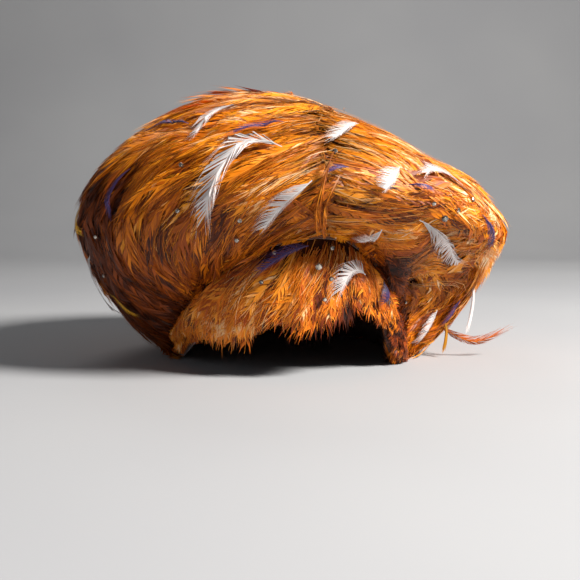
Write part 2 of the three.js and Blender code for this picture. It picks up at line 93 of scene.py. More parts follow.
# Upright sections through the crown, by azimuth in degrees from +X
SECTIONS = columns("azimuth crest height across over edge under scoop", [
    (0, 152, 85, 1.2, 1.6, 1.2, 1.4, 0),
    (30, 150, 85, 1.25, 1.65, 1.2, 1.45, 0),
    (60, 146, 85, 1.5, 1.75, 1.2, 1.5, 0),
    (90, 143, 85, 1.8, 1.85, 1.2, 1.5, 0),
    (120, 145, 86, 1.9, 1.9, 1.2, 1.5, 0),
    (150, 149, 88, 1.95, 1.9, 1.2, 1.45, 0),
    (182, 152, 90, 2.05, 1.95, 1.2, 1.45, 0),
    (197, 152, 92, 2.05, 1.95, 8, 1.45, 0),
    (211, 151, 96, 2.1, 1.95, 26, 1.4, 0),
    (226, 148, 102, 2.05, 1.95, 50, 1.6, 0),
    (246, 144, 110, 2.05, 1.9, 72, 1.8, 0),
    (270, 142, 118, 1.85, 1.85, 88, 2, 0),
    (293, 144, 117, 1.55, 1.75, 87, 1.9, 0),
    (307, 148, 110, 1.35, 1.65, 66, 1.7, 0.15),
    (318, 150, 103, 1.25, 1.6, 42, 1.5, 0.6),
    (328, 152, 96, 1.2, 1.6, 8, 1.5, 0.95),
    (338, 153, 90, 1.2, 1.6, 1.2, 1.5, 0.8),
    (350, 154, 86, 1.2, 1.6, 1.2, 1.45, 0.2),
])

# Swells and dents of the top
SWELLS = ((-58, -20, 30, 5), (82, -10, 15, -7), (120, -10, 22, 5))
SWELL_LENGTH = 2
SWELL_FADE = 4

# Where the brow feathers end, by azimuth
BROW_TIPS = columns("azimuth height", [
    (212, 15), (226, 19), (244, 21), (264, 29), (280, 38),
    (290, 47), (304, 46), (314, 30), (322, 14), (328, 2.5),
])

# How far the longest feathers of the brow's fringe reach past its tips
FRINGE = columns("azimuth past", [
    (212, -4), (226, -9), (244, -9), (264, -4), (280, 3), (290, 12), (304, 12), (314, 1), (328, 2),
])

# The way the feathers lie on the crown: degrees from straight down towards rising azimuth,
# on its upper half, at its crest, below it and near the head
FLOW = columns("azimuth upper crest lower bottom", [
    (0, 50, 30, -15, -50),
    (45, 30, 25, 0, 0),
    (103, 5, 5, 5, 5),
    (150, -20, -20, -20, -20),
    (180, -20, -10, 15, 15),
    (200, -25, -10, 25, 25),
    (225, -45, -32, 5, 5),
    (250, -60, -50, -42, -38),
    (268, -62, -56, -50, -42),
    (280, -58, -54, -48, -40),
    (345, 74, 66, 15, -70),
])
FLOW_PARTS = ("upper", "crest", "lower", "bottom")
FLOW_HEIGHTS = (0.45, 1.0, 1.45, 1.8)

# From the parting to the end of the lobe they sweep to the right instead, then turn down at
# its end and back under it: degrees below the level
SWEEP_FROM = (279.5, 282.5)
SWEEP_TO = (340, 356)
SWEEP_LEVEL = 12
SWEEP_DOWN = 80
SWEEP_BACK = 165
SWEEP_TURNS = (92, 148)
SWEEP_UNDER = (36, 60)

# On top they leave the parting to both sides, and a little towards the front and the back
TOP_PARTING = 34
TOP_SOFTNESS = 10
TOP_LENGTH = 70
TOP_SPREAD = 0.6
TOP_FORWARD = 0.2
TOP_ENDS = (0.22, 0.52)

# The way they lie on the brow, where it doesn't change downwards
BROW_FLOW = columns("azimuth angle", [
    (210, -20), (235, -35), (262, -42), (280, -25), (292, 0), (305, 25), (320, 30),
])

# Stepping out a path: the least change of place per unit of down and per degree, the least
# squareness of the two, the fall past the edge, and how near it comes to the apex
SLOWEST_DOWN = 5
SLOWEST_ROUND = 0.15
LEAST_SQUARE = 0.3
FALL_OUT = 0.5
FALL_DOWN = 0.8
LONGEST_PAST_EDGE = 3
NEAREST_APEX = 0.015

# Wavy fields: the size of their waves in millimetres, or degrees for the fingers, and a seed
WAVE_SINES = 9
WAVES = {
    "turn": (30, 5),
    "curl": (40, 8),
    "swells": (21, 9),
    "clumps": (17, 13),
    "streaks": (3.4, 41),
    "top streaks": (3.4, 43),
    "brow turn": (20, 25),
    "wisp turn": (18, 25),
    "brow swells": (12, 29),
    "brow clumps": (9, 33),
    "fingers": (2.4, 47),
}

# The build of a feather, by its own length and its half width
VANE_FROM = 0.12
VANE_OVER = 0.84
VANE_POWER = 0.7
VANE_ROOT = 1.15
VANE_TAPER = 0.4
BARBS_FROM = 0.04
BARBS_OVER = 0.8
BARB_SHIFT = 0.3
BARB_FOOT = 0.6
BARB_LEAN = (0.26, 0.38)
BARB_LEAN_FADE = 0.35
BARB_LENGTHS = (0.8, 1.1)
BARB_DROOP = 0.25
BARB_WIDEST = 0.45
BARB_WIDEST_OUT = 0.68
BARB_WIDEST_DROOP = 0.4
SHAFT_HALF_WIDTH = 0.35
SHAFT_TAPER = 0.8
SHAFT_RAISED = 0.25
WISP_TAPER = 0.6

# Feathers' tones, from 0, the darkest, to 1, and the streaks in their materials
# A few barbs paler, a painted highlight: their share, how much paler, and above which tone
PAINTED_HIGHLIGHT_BARBS = 0.05
BARB_PAINTED_HIGHLIGHT = 0.3
PAINTED_HIGHLIGHT_ABOVE = 0.4
BARB_TONES = 0.05
SHAFT_PALER = 0.12
SHEET_TONES = (0.02, 0.98)
FEATHER_TONES = (0.03, 0.97)
WISP_TONES = (0.03, 0.98)
UV_RUN = (0.01, 0.99)
STREAKS_ACROSS = 160.0
STREAKS_ALONG = 3.0
# Where the painted shade towards the feathers' roots ends
ROOT_PAINTED_SHADE_ENDS = 0.6

# Painted shade, where the tone is darker: azimuth and reach of a bell, heights between which it
# ends, and depth, for the dark left side (partly darker feathers, partly painted shade), and the
# painted shade of the hollow under the lobe, the lobe's underside, and under the crest
PAINTED_SHADES = (
    (210, 27, 118, 158, 0.72),
    (306, 14, 74, 94, 0.85),
    (332, 18, 40, 66, 0.35),
    (256, 28, 88, 108, 0.3),
)

# The crown's feathers: where they root, how they run, how they rise, and their tones
CROWN_ROOTS = (0.02, 1.88)
CROWN_STATIONS = 7
CROWN_TURN = 7
CROWN_CURL = 12
CROSSING = 3.5
SHORTER = (1.3, 1.9)
ROOTS_TO_CHOOSE = 6
LOWEST_ROOT = -5.5
HELD_DOWN = -3
FLARED = 0.07
FLARES = (2, 6)
LOCKS_LIFT = 0.4
STREAKS_LIFT = 1.3
SWELLS_LIFT = 0.8
STRAND_RING = 140
STRAND_DOWN = 24
TOP_STRETCH = (0.15, 1.0, 0.0)
STREAKS_MEET = (0.3, 0.6)
FEATHER_RISE = 0.8
FLARE_RISE = 2.5
ROLL = 12
CLUMP_TONE = 0.07
STREAK_TONE = 0.18
CROWN_TONE = 0.5
CROWN_TONE_CHANCE = 0.12

# Loose barbs: as above, and the few that are paler, a painted highlight
WISP_STATIONS = 5
WISP_RISE = 1.5
WISP_HELD_DOWN = -3
WISP_STREAK_TONE = 0.16
WISP_TONE = 0.58
WISP_TONE_CHANCE = 0.14
PAINTED_SHEEN_SHARE = 0.12
PAINTED_SHEEN = 0.25

# The brow's feathers, and the painted shade that makes them darker beside the hollow and under the crease
BROW_STATIONS = 6
BROW_SWELLS_LIFT = 1.1
BROW_LOWEST_ROOT = -3.5
BROW_HELD_DOWN = -1.5
BROW_CLUMP_TONE = 0.17
BROW_TONE = 0.55
BROW_TONE_CHANCE = 0.15
BROW_WISP_HELD_DOWN = -2
BROW_WISP_TONE = 0.62
BROW_WISP_TONE_CHANCE = 0.17
BESIDE_HOLLOW = (309, 317)
BESIDE_HOLLOW_PAINTED_SHADE = -0.4
UNDER_CREASE = 0.16
UNDER_CREASE_PAINTED_SHADE = -0.16
SHORTEST_FRINGE = 8
RAGGED = 0.1
RAGGED_RIGHT = 0.14
RAGGED_FROM = (268, 290)

# How near to a plume or a stone the other feathers are held down, and where they are free
CLEARING = (3.0, 11.0)

# The lock that hangs down the parting
LOCK_PLACES = (
    ((280.5, 0.8), (276.8, 1.12), (278.6, 1.62)),
    ((279.5, 0.86), (276, 1.2), (278, 1.74)),
    ((281.5, 0.92), (277.8, 1.26), (280, 1.8)),
)

# Single feathers on the coat: from, by and to are azimuth and way down, and then the width
PLUME_STATIONS = 11
PLUME_BARBS = 40
PLUME_LIFT = 3.6
PLUME_WIDER = 1.1
PLUME_TONE = 0.62
PLUME_CAMBER = 0.12
PLUME_UNEVEN = -0.55
PLUME_FULL = 0.26
PLUME_SEED = 501
PLUMES = {
    "white": (
        ("crown", (248, 0.45), (244, 0.54), (242, 0.68), 9),
        ("crown", (268, 0.76), (255, 0.8), (249, 1.36), 17),
        ("crown", (275, 0.95), (268, 1.18), (262, 1.55), 10),
        ("crown", (295, 0.55), (288, 0.62), (279, 0.73), 10),
        ("crown", (298, 0.82), (294, 0.92), (291, 1.02), 12),
        ("crown", (318, 0.83), (310, 0.78), (303, 0.87), 9),
        ("crown", (303, 1.22), (320, 1.21), (339, 1.21), 13),
        ("crown", (204, 1.22), (197, 1.33), (192, 1.55), 7),
        ("crown", (344, 1.48), (343, 1.58), (341, 1.75), 7),
        ("crown", (294, 1.45), (293, 1.62), (291, 1.82), 8),
        ("brow", (296, 0.44), (290, 0.46), (285, 0.84), 12),
    ),
    "purple": (
        ("crown", (238, 0.58), (225, 0.54), (214, 0.56), 6),
        ("crown", (268, 0.62), (261, 0.63), (252, 0.69), 6),
        ("crown", (284, 0.86), (281, 0.88), (278, 0.91), 4),
        ("crown", (226, 0.78), (223, 0.88), (222, 1.02), 6),
        ("crown", (299, 0.92), (302, 0.92), (305, 0.93), 4),
        ("crown", (323, 0.95), (328, 1.05), (338, 1.11), 7),
        ("crown", (349, 1.42), (349, 1.5), (348, 1.59), 5),
        ("brow", (276, 0.06), (268, 0.12), (258, 0.28), 8),
        ("brow", (306, 0.25), (307, 0.55), (305, 0.96), 8),
    ),
    "gold": (
        ("crown", (204, 0.86), (205, 0.97), (207, 1.1), 9),
        ("crown", (202, 1.44), (204, 1.54), (207, 1.64), 7),
    ),
}

# Cut stones: azimuth, way down and width
STONES = {
    "crown": (
        (281, 0.79, 3.2), (258, 1.28, 3), (256, 1.52, 3.4), (309, 1.11, 4.6),
        (313, 1, 3.2), (305, 1.02, 3), (243, 0.81, 3), (215, 1.13, 3),
        (206, 1.36, 3), (322, 0.87, 3), (243, 1.06, 3), (325, 1.55, 3),
    ),
    "brow": (
        (279, 0.32, 5), (265, 0.06, 3.2), (261, 0.36, 3), (284, 0.1, 3.4),
        (283, 0.5, 3.2), (281, 0.74, 3),
    ),
}

# A cut stone: its half widths, and its heights in millimetres plus a share of its width
STONE_RINGS = columns("across height share turned", [
    (0, 2.0, 0.35, 0),
    (0.55, 2.0, 0.35, 0),
    (0.85, 2.0, 0.2, 22.5),
    (1, 2.0, 0, 0),
    (1, 1.7, 0, 0),
    (0.6, 0.2, 0, 0),
    (0, -0.6, 0, 0),
])

# The plume that trails from the lobe, and the strands that hang beside it
TRAIL_ROOT = (352, 1.62)
TRAIL_POINTS = ((-1, 0, 2), (8, -3, -4), (26, -4, -9), (51, -2, 2))
HANGING_BARBS = 9
FORWARD = (0.0, -1.0, 0.0)

# The camera, in metres
CAMERA_PLACE = (-0.005, -0.617, 0.1064)
CAMERA_TARGET = (-0.005, 0, 0.047)
CAMERA_LENS = 51.5
CAMERA_SENSOR = 36


# The hat's form

def smoothstep(x, low, high):
    """From 0 at low to 1 at high by t^2 (3 - 2 t)."""
    t = np.clip((x - low) / (high - low), 0, 1)
    return t * t * (3 - 2 * t)


def unit(vectors):
    """Vectors over their own lengths."""
    return vectors / np.linalg.norm(vectors, axis=-1, keepdims=True).clip(1e-9)


def polar(azimuth, radius, height):
    """Points round the upright line through the crown's middle."""
    a = np.radians(azimuth)
    return np.stack(np.broadcast_arrays(CENTRE_X + radius * np.cos(a), radius * np.sin(a), height), -1)


def section(azimuth, column):
    """A smooth closed curve through a column of the section table: a Hermite cubic between
    rows i and i + 1, v = v_i (1 - e) + v_j e + s_i w t (1 - t)^2 - s_j w t^2 (1 - t), where
    e = t^2 (3 - 2 t) and the slopes s are taken across the neighbouring rows."""
    at = np.mod(azimuth, TURN)
    places = SECTIONS["azimuth"]
    values = SECTIONS[column]
    count = len(places)
    i = np.searchsorted(places, at, side="right") - 1

    def place(k):
        return places[k % count] + TURN * (k // count)

    def slope(k):
        return (values[(k + 1) % count] - values[(k - 1) % count]) / (place(k + 1) - place(k - 1))

    width = place(i + 1) - place(i)
    t = (at - place(i)) / width
    ease = t * t * (3 - 2 * t)
    straight = values[i] * (1 - ease) + values[(i + 1) % count] * ease
    return straight + slope(i) * width * t * (1 - t) ** 2 - slope(i + 1) * width * t * t * (1 - t)


def head_radius(azimuth, outwards):
    """The head's oval, 1 / hypot(cos a / half width, sin a / half length), larger by outwards."""
    a = np.radians(azimuth)
    return 1 / np.hypot(np.cos(a) / (HEAD_HALF_WIDTH + outwards), np.sin(a) / (HEAD_HALF_LENGTH + outwards))


def edge_height(azimuth):
    """The edge runs straight between columns that stand EDGE_STEP degrees apart."""
    start = np.floor(azimuth / EDGE_STEP) * EDGE_STEP
    near = np.maximum(EDGE_LOWEST, section(start, "edge"))
    far = np.maximum(EDGE_LOWEST, section(start + EDGE_STEP, "edge"))
    return near + (far - near) * (azimuth - start) / EDGE_STEP


def crown_point(azimuth, down):
    """The crown's smooth form. Above the crest, with a = down * 90 degrees, the radius is
    crest * sin(a)^(2 / across) and the height rises by cos(a)^(2 / over) of what is left to
    the apex, with the swells added. Below it, with b = (down - 1) * 90 degrees, the form falls
    by f = sin(b)^(2 / under), and its radius runs from the crest to the head by
    cos(b)^(2 / under), or where it is scooped by exp(-(f / lip)^2)."""
    azimuth, down = np.broadcast_arrays(np.asarray(azimuth, float), np.asarray(down, float))
    crest = section(azimuth, "crest")
    height = section(azimuth, "height")
    a = np.clip(down, 0, 1) * np.pi / 2
    radius = crest * np.sin(a) ** (2 / section(azimuth, "across"))
    climbed = np.cos(a).clip(0) ** (2 / section(azimuth, "over"))
    upper = polar(azimuth, radius, height + (APEX_HEIGHT - height) * climbed)
    for x, y, reach, swell in SWELLS:
        apart = np.hypot(upper[..., 0] - x, (upper[..., 1] - y) / SWELL_LENGTH) / reach
        upper[..., 2] += swell * np.exp(-apart ** 2 / 2) * np.clip((1 - down) * SWELL_FADE, 0, 1)
    b = np.clip(down - 1, 0, 1) * np.pi / 2
    power = 2 / section(azimuth, "under")
    fall = np.sin(b) ** power
    scoop = section(azimuth, "scoop")
    out = np.cos(b).clip(0) ** power * (1 - scoop) + np.exp(-(fall / SCOOP_LIP) ** 2) * scoop
    edge = head_radius(azimuth, 2 * FELT + 2 * GAP)
    lower = polar(azimuth, edge + (crest - edge) * out, height + (edge_height(azimuth) - height) * fall)
    return np.where((down > 1)[..., None], lower, upper)


def crown_frame(azimuth, down):
    """Point, change per unit of down, change per degree round, and normal, by differences."""
    at = np.clip(down, 0.02, 1.98)
    along = (crown_point(azimuth, at + 0.01) - crown_point(azimuth, at - 0.01)) / 0.02
    across = (crown_point(azimuth + 1, at) - crown_point(azimuth - 1, at)) / 2
    return crown_point(azimuth, at), along, across, unit(np.cross(along, across))


def strand_azimuth(azimuth, down):
    """Where a lock that passes here crosses the crest: tan of half its angle from the parting
    shrinks by exp(-swirl (down - 1))."""
    half = np.tan(np.radians(azimuth - PARTING) / 2) * np.exp(-SWIRL * (down - 1))
    return PARTING + 2 * np.degrees(np.arctan(half))


def crown_relief(azimuth, down):
    """How far a lock of feathers stands out: the root of |sin| across it, rising to its tip."""
    strand = strand_azimuth(azimuth, down) / LOCK_WIDTH
    lane = np.floor(strand)
    across = np.sin(np.pi * (strand - lane))
    row = down * LOCK_ROWS / 2 + LOCK_STAGGER * np.mod(lane, 3)
    along = LOCK_ROOT + (1 - LOCK_ROOT) * (row - np.floor(row))
    settled = np.minimum(1, np.minimum(down * LOCKS_START, (2 - down) * LOCKS_END))
    return LOCK_RELIEF * settled * (np.sqrt(across) * along - LOCK_SUNK)


def felt_point(azimuth, down, depth):
    """The felt lies under the coat; beside the head it stands upright and climbs from its edge."""
    point, _, _, normal = crown_frame(azimuth, down)
    thickness = COAT + (COAT_AT_EDGE - COAT) * smoothstep(down, COAT_THINS_FROM, 2)
    point = point - normal * (thickness + depth)[..., None]
    nearest = head_radius(azimuth, 2 * FELT + GAP - depth)
    close = (down > 1) & (np.hypot(point[..., 0] - CENTRE_X, point[..., 1]) < nearest)
    lowest = edge_height(azimuth) + COAT_AT_EDGE + depth + COLLAR_CLIMB * (2 - down)
    upright = polar(azimuth, nearest, np.maximum(point[..., 2], lowest))
    return np.where(close[..., None], upright, point)


def tip_height(azimuth):
    """Straight between the rows of the tips' table."""
    return np.interp(azimuth, BROW_TIPS["azimuth"], BROW_TIPS["height"])


def brow_point(azimuth, down, extra=0.0):
    """The brow's feathers bulge from the band by sin(pi (e + (1 - 2 e) down)) of their
    thickness, with locks of |sin| across them that stand out more towards the tips."""
    azimuth, down = np.broadcast_arrays(np.asarray(azimuth, float), np.asarray(down, float))
    sweep = BROW_SWEEP * down * np.sin(np.radians(azimuth - PARTING))
    locks = np.abs(np.sin(np.pi * (azimuth - sweep) / BROW_LOCK_WIDTH))
    full = np.sin(np.pi * (BROW_ENDS + (1 - 2 * BROW_ENDS) * np.clip(down, 0, 1)))
    out = BROW_THICKNESS * full + BROW_RELIEF * locks * down + extra
    high = edge_height(azimuth) - COLLAR_BELOW_COAT - GAP
    return polar(azimuth, head_radius(azimuth, FELT + GAP + out), high + (tip_height(azimuth) - high) * down)


def brow_frame(azimuth, down):
    """The same four as crown_frame; the normal is level and points straight out."""
    along = (brow_point(azimuth, down + 0.02) - brow_point(azimuth, down - 0.02)) / 0.04
    across = brow_point(azimuth + 0.5, down) - brow_point(azimuth - 0.5, down)
    a = np.radians(azimuth)
    return brow_point(azimuth, down), along, across, np.stack([np.cos(a), np.sin(a), 0 * a], -1)


# The way the feathers lie

def wave(points, kind):
    """A smooth wavy field of about unit height: a sum of sines along seeded directions."""
    size, seed = WAVES[kind]
    r = np.random.default_rng(seed)
    ways = r.normal(size=(3, WAVE_SINES)) / size
    return np.sin(points @ ways + r.uniform(0, 2 * np.pi, WAVE_SINES)).sum(-1) / np.sqrt(WAVE_SINES)


def on_surface(ways, normal):
    """Directions with their part along the normal taken off."""
    return unit(ways - normal * (ways * normal).sum(-1, keepdims=True))


def crown_heading(azimuth, down, frame_here):
    """Unit direction of the feathers. Below it follows the flow table, and the sweep's angles
    between its azimuths; on top the feathers leave the parting to the left and to the right."""
    point, along, across, normal = frame_here
    at = np.mod(azimuth, TURN)
    angles = [np.interp(at, FLOW["azimuth"], FLOW[part], period=TURN) for part in FLOW_PARTS]
    angle = angles[0]
    for k in range(3):
        angle = angle + (angles[k + 1] - angles[k]) * smoothstep(down, *FLOW_HEIGHTS[k:k + 2])
    a = np.radians(angle)[..., None]
    below = np.cos(a) * unit(along) + np.sin(a) * unit(across)
    x, y, z = point[..., 0], point[..., 1], point[..., 2]
    slope = SWEEP_LEVEL + (SWEEP_DOWN - SWEEP_LEVEL) * smoothstep(x, *SWEEP_TURNS)
    slope = slope + (SWEEP_BACK - slope) * (1 - smoothstep(z, *SWEEP_UNDER))
    slope = np.radians(slope)
    sweep = on_surface(np.stack([np.cos(slope), 0 * slope, -np.sin(slope)], -1), normal)
    part = smoothstep(at, *SWEEP_FROM) * (1 - smoothstep(at, *SWEEP_TO))
    below = unit(below + (sweep - below) * part[..., None])
    sideways = np.tanh((x - TOP_PARTING) / TOP_SOFTNESS)
    lengthways = np.clip(y / TOP_LENGTH, -1, 1) * TOP_SPREAD - TOP_FORWARD
    top = on_surface(np.stack([sideways, lengthways, 0 * x], -1), normal)
    return unit(top + (below - top) * smoothstep(down, *TOP_ENDS)[..., None])


def brow_heading(azimuth, down, frame_here):
    """Unit direction of the feathers, turned from straight down by the brow's flow table."""
    _, along, across, _ = frame_here
    a = np.radians(np.interp(azimuth, BROW_FLOW["azimuth"], BROW_FLOW["angle"]))[..., None]
    return np.cos(a) * unit(along) + np.sin(a) * unit(across)


# Each surface's frame, its heading, and the way down where its edge is
SURFACES = {"crown": (crown_frame, crown_heading, 1.94), "brow": (brow_frame, brow_heading, 1.3)}


def trace(surface, azimuth, down, length, turn, curl, stations, aside=0.0):
    """Paths of feathers over a surface: from each root, equal steps along the heading found
    aside degrees away, turned by turn + curl * t degrees. Past the edge a path runs on
    downwards. Returns the points and the normals, both (feather, station, 3)."""
    frame_at, heading, limit = SURFACES[surface]
    step = length / (stations - 1)
    past = np.zeros((len(azimuth), 3))
    points = []
    normals = []
    for k in range(stations):
        here = frame_at(azimuth, down)
        point, along, across, normal = here
        points.append(point + past)
        normals.append(normal)
        way = heading(azimuth + aside, down, here)
        angle = np.radians(turn + curl * k / (stations - 1))[:, None]
        way = way * np.cos(angle) + np.cross(normal, way) * np.sin(angle)
        speed_down = np.linalg.norm(along, axis=-1).clip(SLOWEST_DOWN)
        speed_round = np.linalg.norm(across, axis=-1).clip(SLOWEST_ROUND)
        skew = (unit(along) * unit(across)).sum(-1)
        to_down = (way * unit(along)).sum(-1)
        to_round = (way * unit(across)).sum(-1)
        go_down = (to_down - skew * to_round) / (1 - skew ** 2).clip(LEAST_SQUARE)
        go_round = (to_round - skew * to_down) / (1 - skew ** 2).clip(LEAST_SQUARE)
        down = down + go_down * step / speed_down
        azimuth = azimuth + go_round * step / speed_round
        fall = way * [FALL_OUT, FALL_OUT, 0] - [0, 0, FALL_DOWN]
        room = (LONGEST_PAST_EDGE - np.linalg.norm(past, axis=-1)).clip(0)
        past = past + fall * (np.minimum(step, room) * (down >= limit))[:, None]
        down = np.clip(down, NEAREST_APEX, limit)
    return np.stack(points, 1), np.stack(normals, 1)


# Meshes

def new_mesh(name, vertices, quads, triangles, uv, material, smooth=True):
    """An object of quads and triangles over vertices in millimetres, with one uv a vertex."""
    mesh = bpy.data.meshes.new(name)
    corners = np.concatenate([quads.ravel(), triangles.ravel()]).astype(np.int32)
    starts = np.concatenate([np.arange(len(quads)) * 4, 4 * len(quads) + np.arange(len(triangles)) * 3])
    mesh.vertices.add(len(vertices))
    mesh.vertices.foreach_set("co", (vertices * MM).astype(np.float32).ravel())
    mesh.loops.add(len(corners))
    mesh.loops.foreach_set("vertex_index", corners)
    mesh.polygons.add(len(starts))
    mesh.polygons.foreach_set("loop_start", starts.astype(np.int32))
    mesh.update(calc_edges=True)
    mesh.polygons.foreach_set("use_smooth", np.full(len(starts), smooth))
    layer = mesh.uv_layers.new(name="OFBake")
    layer.uv.foreach_set("vector", uv[corners].astype(np.float32).ravel())
    mesh.materials.append(material)
    made = bpy.data.objects.new(name, mesh)
    bpy.context.scene.collection.objects.link(made)
    return made


def grid_sheet(points, closed=True):
    """Vertices, quads, triangles and uv of a surface through a grid of points (row, column, 3).
    It faces out where its rows run down and its columns run round with rising azimuth; closed
    joins its first and last column. A first or last row that is all one point is a pole, with
    triangles round it."""
    if closed:
        points = np.concatenate([points, points[:, :1]], 1)
    rows, count = points.shape[:2]
    index = np.arange(rows * count).reshape(rows, count)
    top, bottom = (int(np.ptp(points[row], axis=0).max() < SAME_POINT) for row in (0, -1))
    body = index[top:rows - bottom]
    quads = np.stack([body[:-1, :-1], body[1:, :-1], body[1:, 1:], body[:-1, 1:]], -1).reshape(-1, 4)
    fan_down = np.stack([index[0, :-1], index[1, :-1], index[1, 1:]], -1)
    fan_up = np.stack([index[-1, :-1], index[-2, 1:], index[-2, :-1]], -1)
    triangles = np.concatenate([fan_down[:top * count], fan_up[:bottom * count]])
    v, u = np.meshgrid(np.linspace(0, 1, rows), np.linspace(0, 1, count), indexing="ij")
    return points.reshape(-1, 3), quads, triangles, np.stack([u, v], -1).reshape(-1, 2)


def with_pole(rows):
    """Rows that start round the top, and before them a row that is the point in its middle."""
    return [np.broadcast_to(rows[0].mean(0), rows[0].shape), *rows]


def add_piece(name, sheet, material, replaced=None, smooth=True):
    """A visible piece of the hat from a sheet's vertices, quads, triangles and uv, which stands
    for the part's node that it replaces, where it replaces one."""
    made = new_mesh(name, *sheet, material, smooth)
    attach(made, "root")
    if replaced:
        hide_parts(replaced)


def above_floor(sheet):
    """A sheet with no vertex lower than the clearance over the floor."""
    vertices, *rest = sheet
    return np.concatenate([vertices[:, :2], np.maximum(vertices[:, 2:], FLOOR_CLEARANCE)], 1), *rest


def along_path(paths, t):
    """Values at t from 0 to 1 along stations (feather, station, 3), running on past the tip."""
    last = paths.shape[1] - 1
    i = np.clip((t * last).astype(int), 0, last - 1)
    part = (t * last - i)[..., None]
    flat = i.reshape(len(i), -1)[..., None]
    near = np.take_along_axis(paths, flat, 1).reshape(*t.shape, 3)
    far = np.take_along_axis(paths, flat + 1, 1).reshape(*t.shape, 3)
    return near + (far - near) * part


def path_frames(points, normals):
    """Sides and ups of paths: square to the way along them, and nearest to their normals."""
    ways = unit(np.gradient(points, axis=1))
    sides = unit(np.cross(normals, ways))
    return sides, unit(np.cross(ways, sides))


def feather_sheets(points, normals, width, tone, barbs, camber, uneven, seed, full=0.45):
    """Feathers as a shaft and two rows of long barbs. The vane's half width at t is
    width / 2 * sin(pi (from + over t))^power * (root - taper t), larger on one side by uneven.
    A barb leaves the shaft at t, leans far forward, narrows to a point and droops by camber
    times its reach; full is how much of its pitch it fills. Returns vertices, quads, triangles
    and uv, where u is the tone and v runs from root to tip."""
    r = np.random.default_rng(seed)
    count, stations = points.shape[:2]
    width, tone, camber, uneven = (
        np.broadcast_to(value, (count, 1, 1)) if np.ndim(value) == 0 else value[:, None, None]
        for value in (width, tone, camber, uneven))
    sides, ups = path_frames(points, normals)

    pitch = BARBS_OVER / barbs
    t = BARBS_FROM + pitch * (np.arange(barbs) + 0.5)
    t = t[None, None, :] + r.uniform(-BARB_SHIFT, BARB_SHIFT, (count, 2, barbs)) * pitch
    hand = np.array([-1.0, 1.0])[None, :, None]
    lean = r.uniform(*BARB_LEAN, (count, 2, barbs)) * (1 - BARB_LEAN_FADE * t)
    half = width / 2 * np.sin(np.pi * (VANE_FROM + VANE_OVER * t)) ** VANE_POWER
    half = half * (VANE_ROOT - VANE_TAPER * t) * r.uniform(*BARB_LENGTHS, t.shape) * (1 + hand * uneven)
    droop = camber * half + r.normal(0, BARB_DROOP, t.shape)

    def place(at, out, up):
        spot = along_path(points, at)
        return spot + along_path(sides, at) * out[..., None] + along_path(ups, at) * up[..., None]

    level = 0 * t
    widest = t + lean * BARB_WIDEST
    blade = np.stack([
        place(t - pitch * BARB_FOOT, level, level),
        place(t + pitch * BARB_FOOT, level, level),
        place(widest - pitch * full, hand * half * BARB_WIDEST_OUT, -droop * BARB_WIDEST_DROOP),
        place(widest + pitch * full, hand * half * BARB_WIDEST_OUT, -droop * BARB_WIDEST_DROOP),
        place(t + lean, hand * half, -droop),
    ], -2)
    # A few barbs are paler: a painted highlight
    painted_highlight = np.where(r.uniform(size=t.shape) < PAINTED_HIGHLIGHT_BARBS, BARB_PAINTED_HIGHLIGHT, 0) * (tone > PAINTED_HIGHLIGHT_ABOVE)
    shade = np.clip(tone + painted_highlight + r.normal(0, BARB_TONES, t.shape), *SHEET_TONES)
    reach = np.stack([t - pitch * 0.5, t + pitch * 0.5, t + lean * 0.5, t + lean * 0.6, t + lean], -1)
    blade_uv = np.stack(np.broadcast_arrays(shade[..., None], reach.clip(*UV_RUN)), -1)

    st = np.linspace(0, 1, stations)
    thin = (SHAFT_HALF_WIDTH * (1 - SHAFT_TAPER * st))[None, :, None]
    raised = points + ups * SHAFT_RAISED
    shaft = np.stack([raised - sides * thin, raised + sides * thin], 2)
    shaft_tone = np.broadcast_to(np.clip(tone + SHAFT_PALER, *SHEET_TONES), (count, stations, 2))
    shaft_run = np.broadcast_to(st.clip(*UV_RUN)[None, :, None], (count, stations, 2))
    shaft_uv = np.stack([shaft_tone, shaft_run], -1)

    base = np.arange(count * 2 * barbs).reshape(count, 2, barbs, 1) * 5
    quads = base + np.array([[0, 2, 3, 1], [0, 1, 3, 2]])[:, None]
    triangles = base + np.array([[2, 4, 3], [2, 3, 4]])[:, None]
    index = base.size * 5 + np.arange(count * stations * 2).reshape(count, stations, 2)
    strip = np.stack([index[:, :-1, 0], index[:, 1:, 0], index[:, 1:, 1], index[:, :-1, 1]], -1)
    vertices = np.concatenate([blade.reshape(-1, 3), shaft.reshape(-1, 3)])
    uv = np.concatenate([blade_uv.reshape(-1, 2), shaft_uv.reshape(-1, 2)])
    quads = np.concatenate([quads.reshape(-1, 4), strip.reshape(-1, 4)])
    return vertices, quads, triangles.reshape(-1, 3), uv


def filaments(points, normals, width, tone):
    """Loose barbs: ribbons along their paths, width / 2 * (1 - taper t) to each side, and a point
    at the tip."""
    count, stations = points.shape[:2]
    sides, _ = path_frames(points, normals)
    st = np.linspace(0, 1, stations)
    half = width[:, None, None] / 2 * (1 - WISP_TAPER * st)[None, :, None]
    pair = np.stack([points - sides * half, points + sides * half], 2)[:, :-1].reshape(count, -1, 3)
    vertices = np.concatenate([pair, points[:, -1:]], 1)
    each = vertices.shape[1]
    base = np.arange(count)[:, None] * each
    quads = (2 * np.arange(stations - 2)[:, None, None] + base + [0, 2, 3, 1]).reshape(-1, 4)
    triangles = base + [each - 3, each - 1, each - 2]
    v = np.concatenate([np.repeat(st[:-1], 2), [1.0]]).clip(*UV_RUN)
    uv = np.stack(np.broadcast_arrays(tone[:, None], v[None, :]), -1)
    return vertices.reshape(-1, 3), quads, triangles, uv.reshape(-1, 2)


# Materials

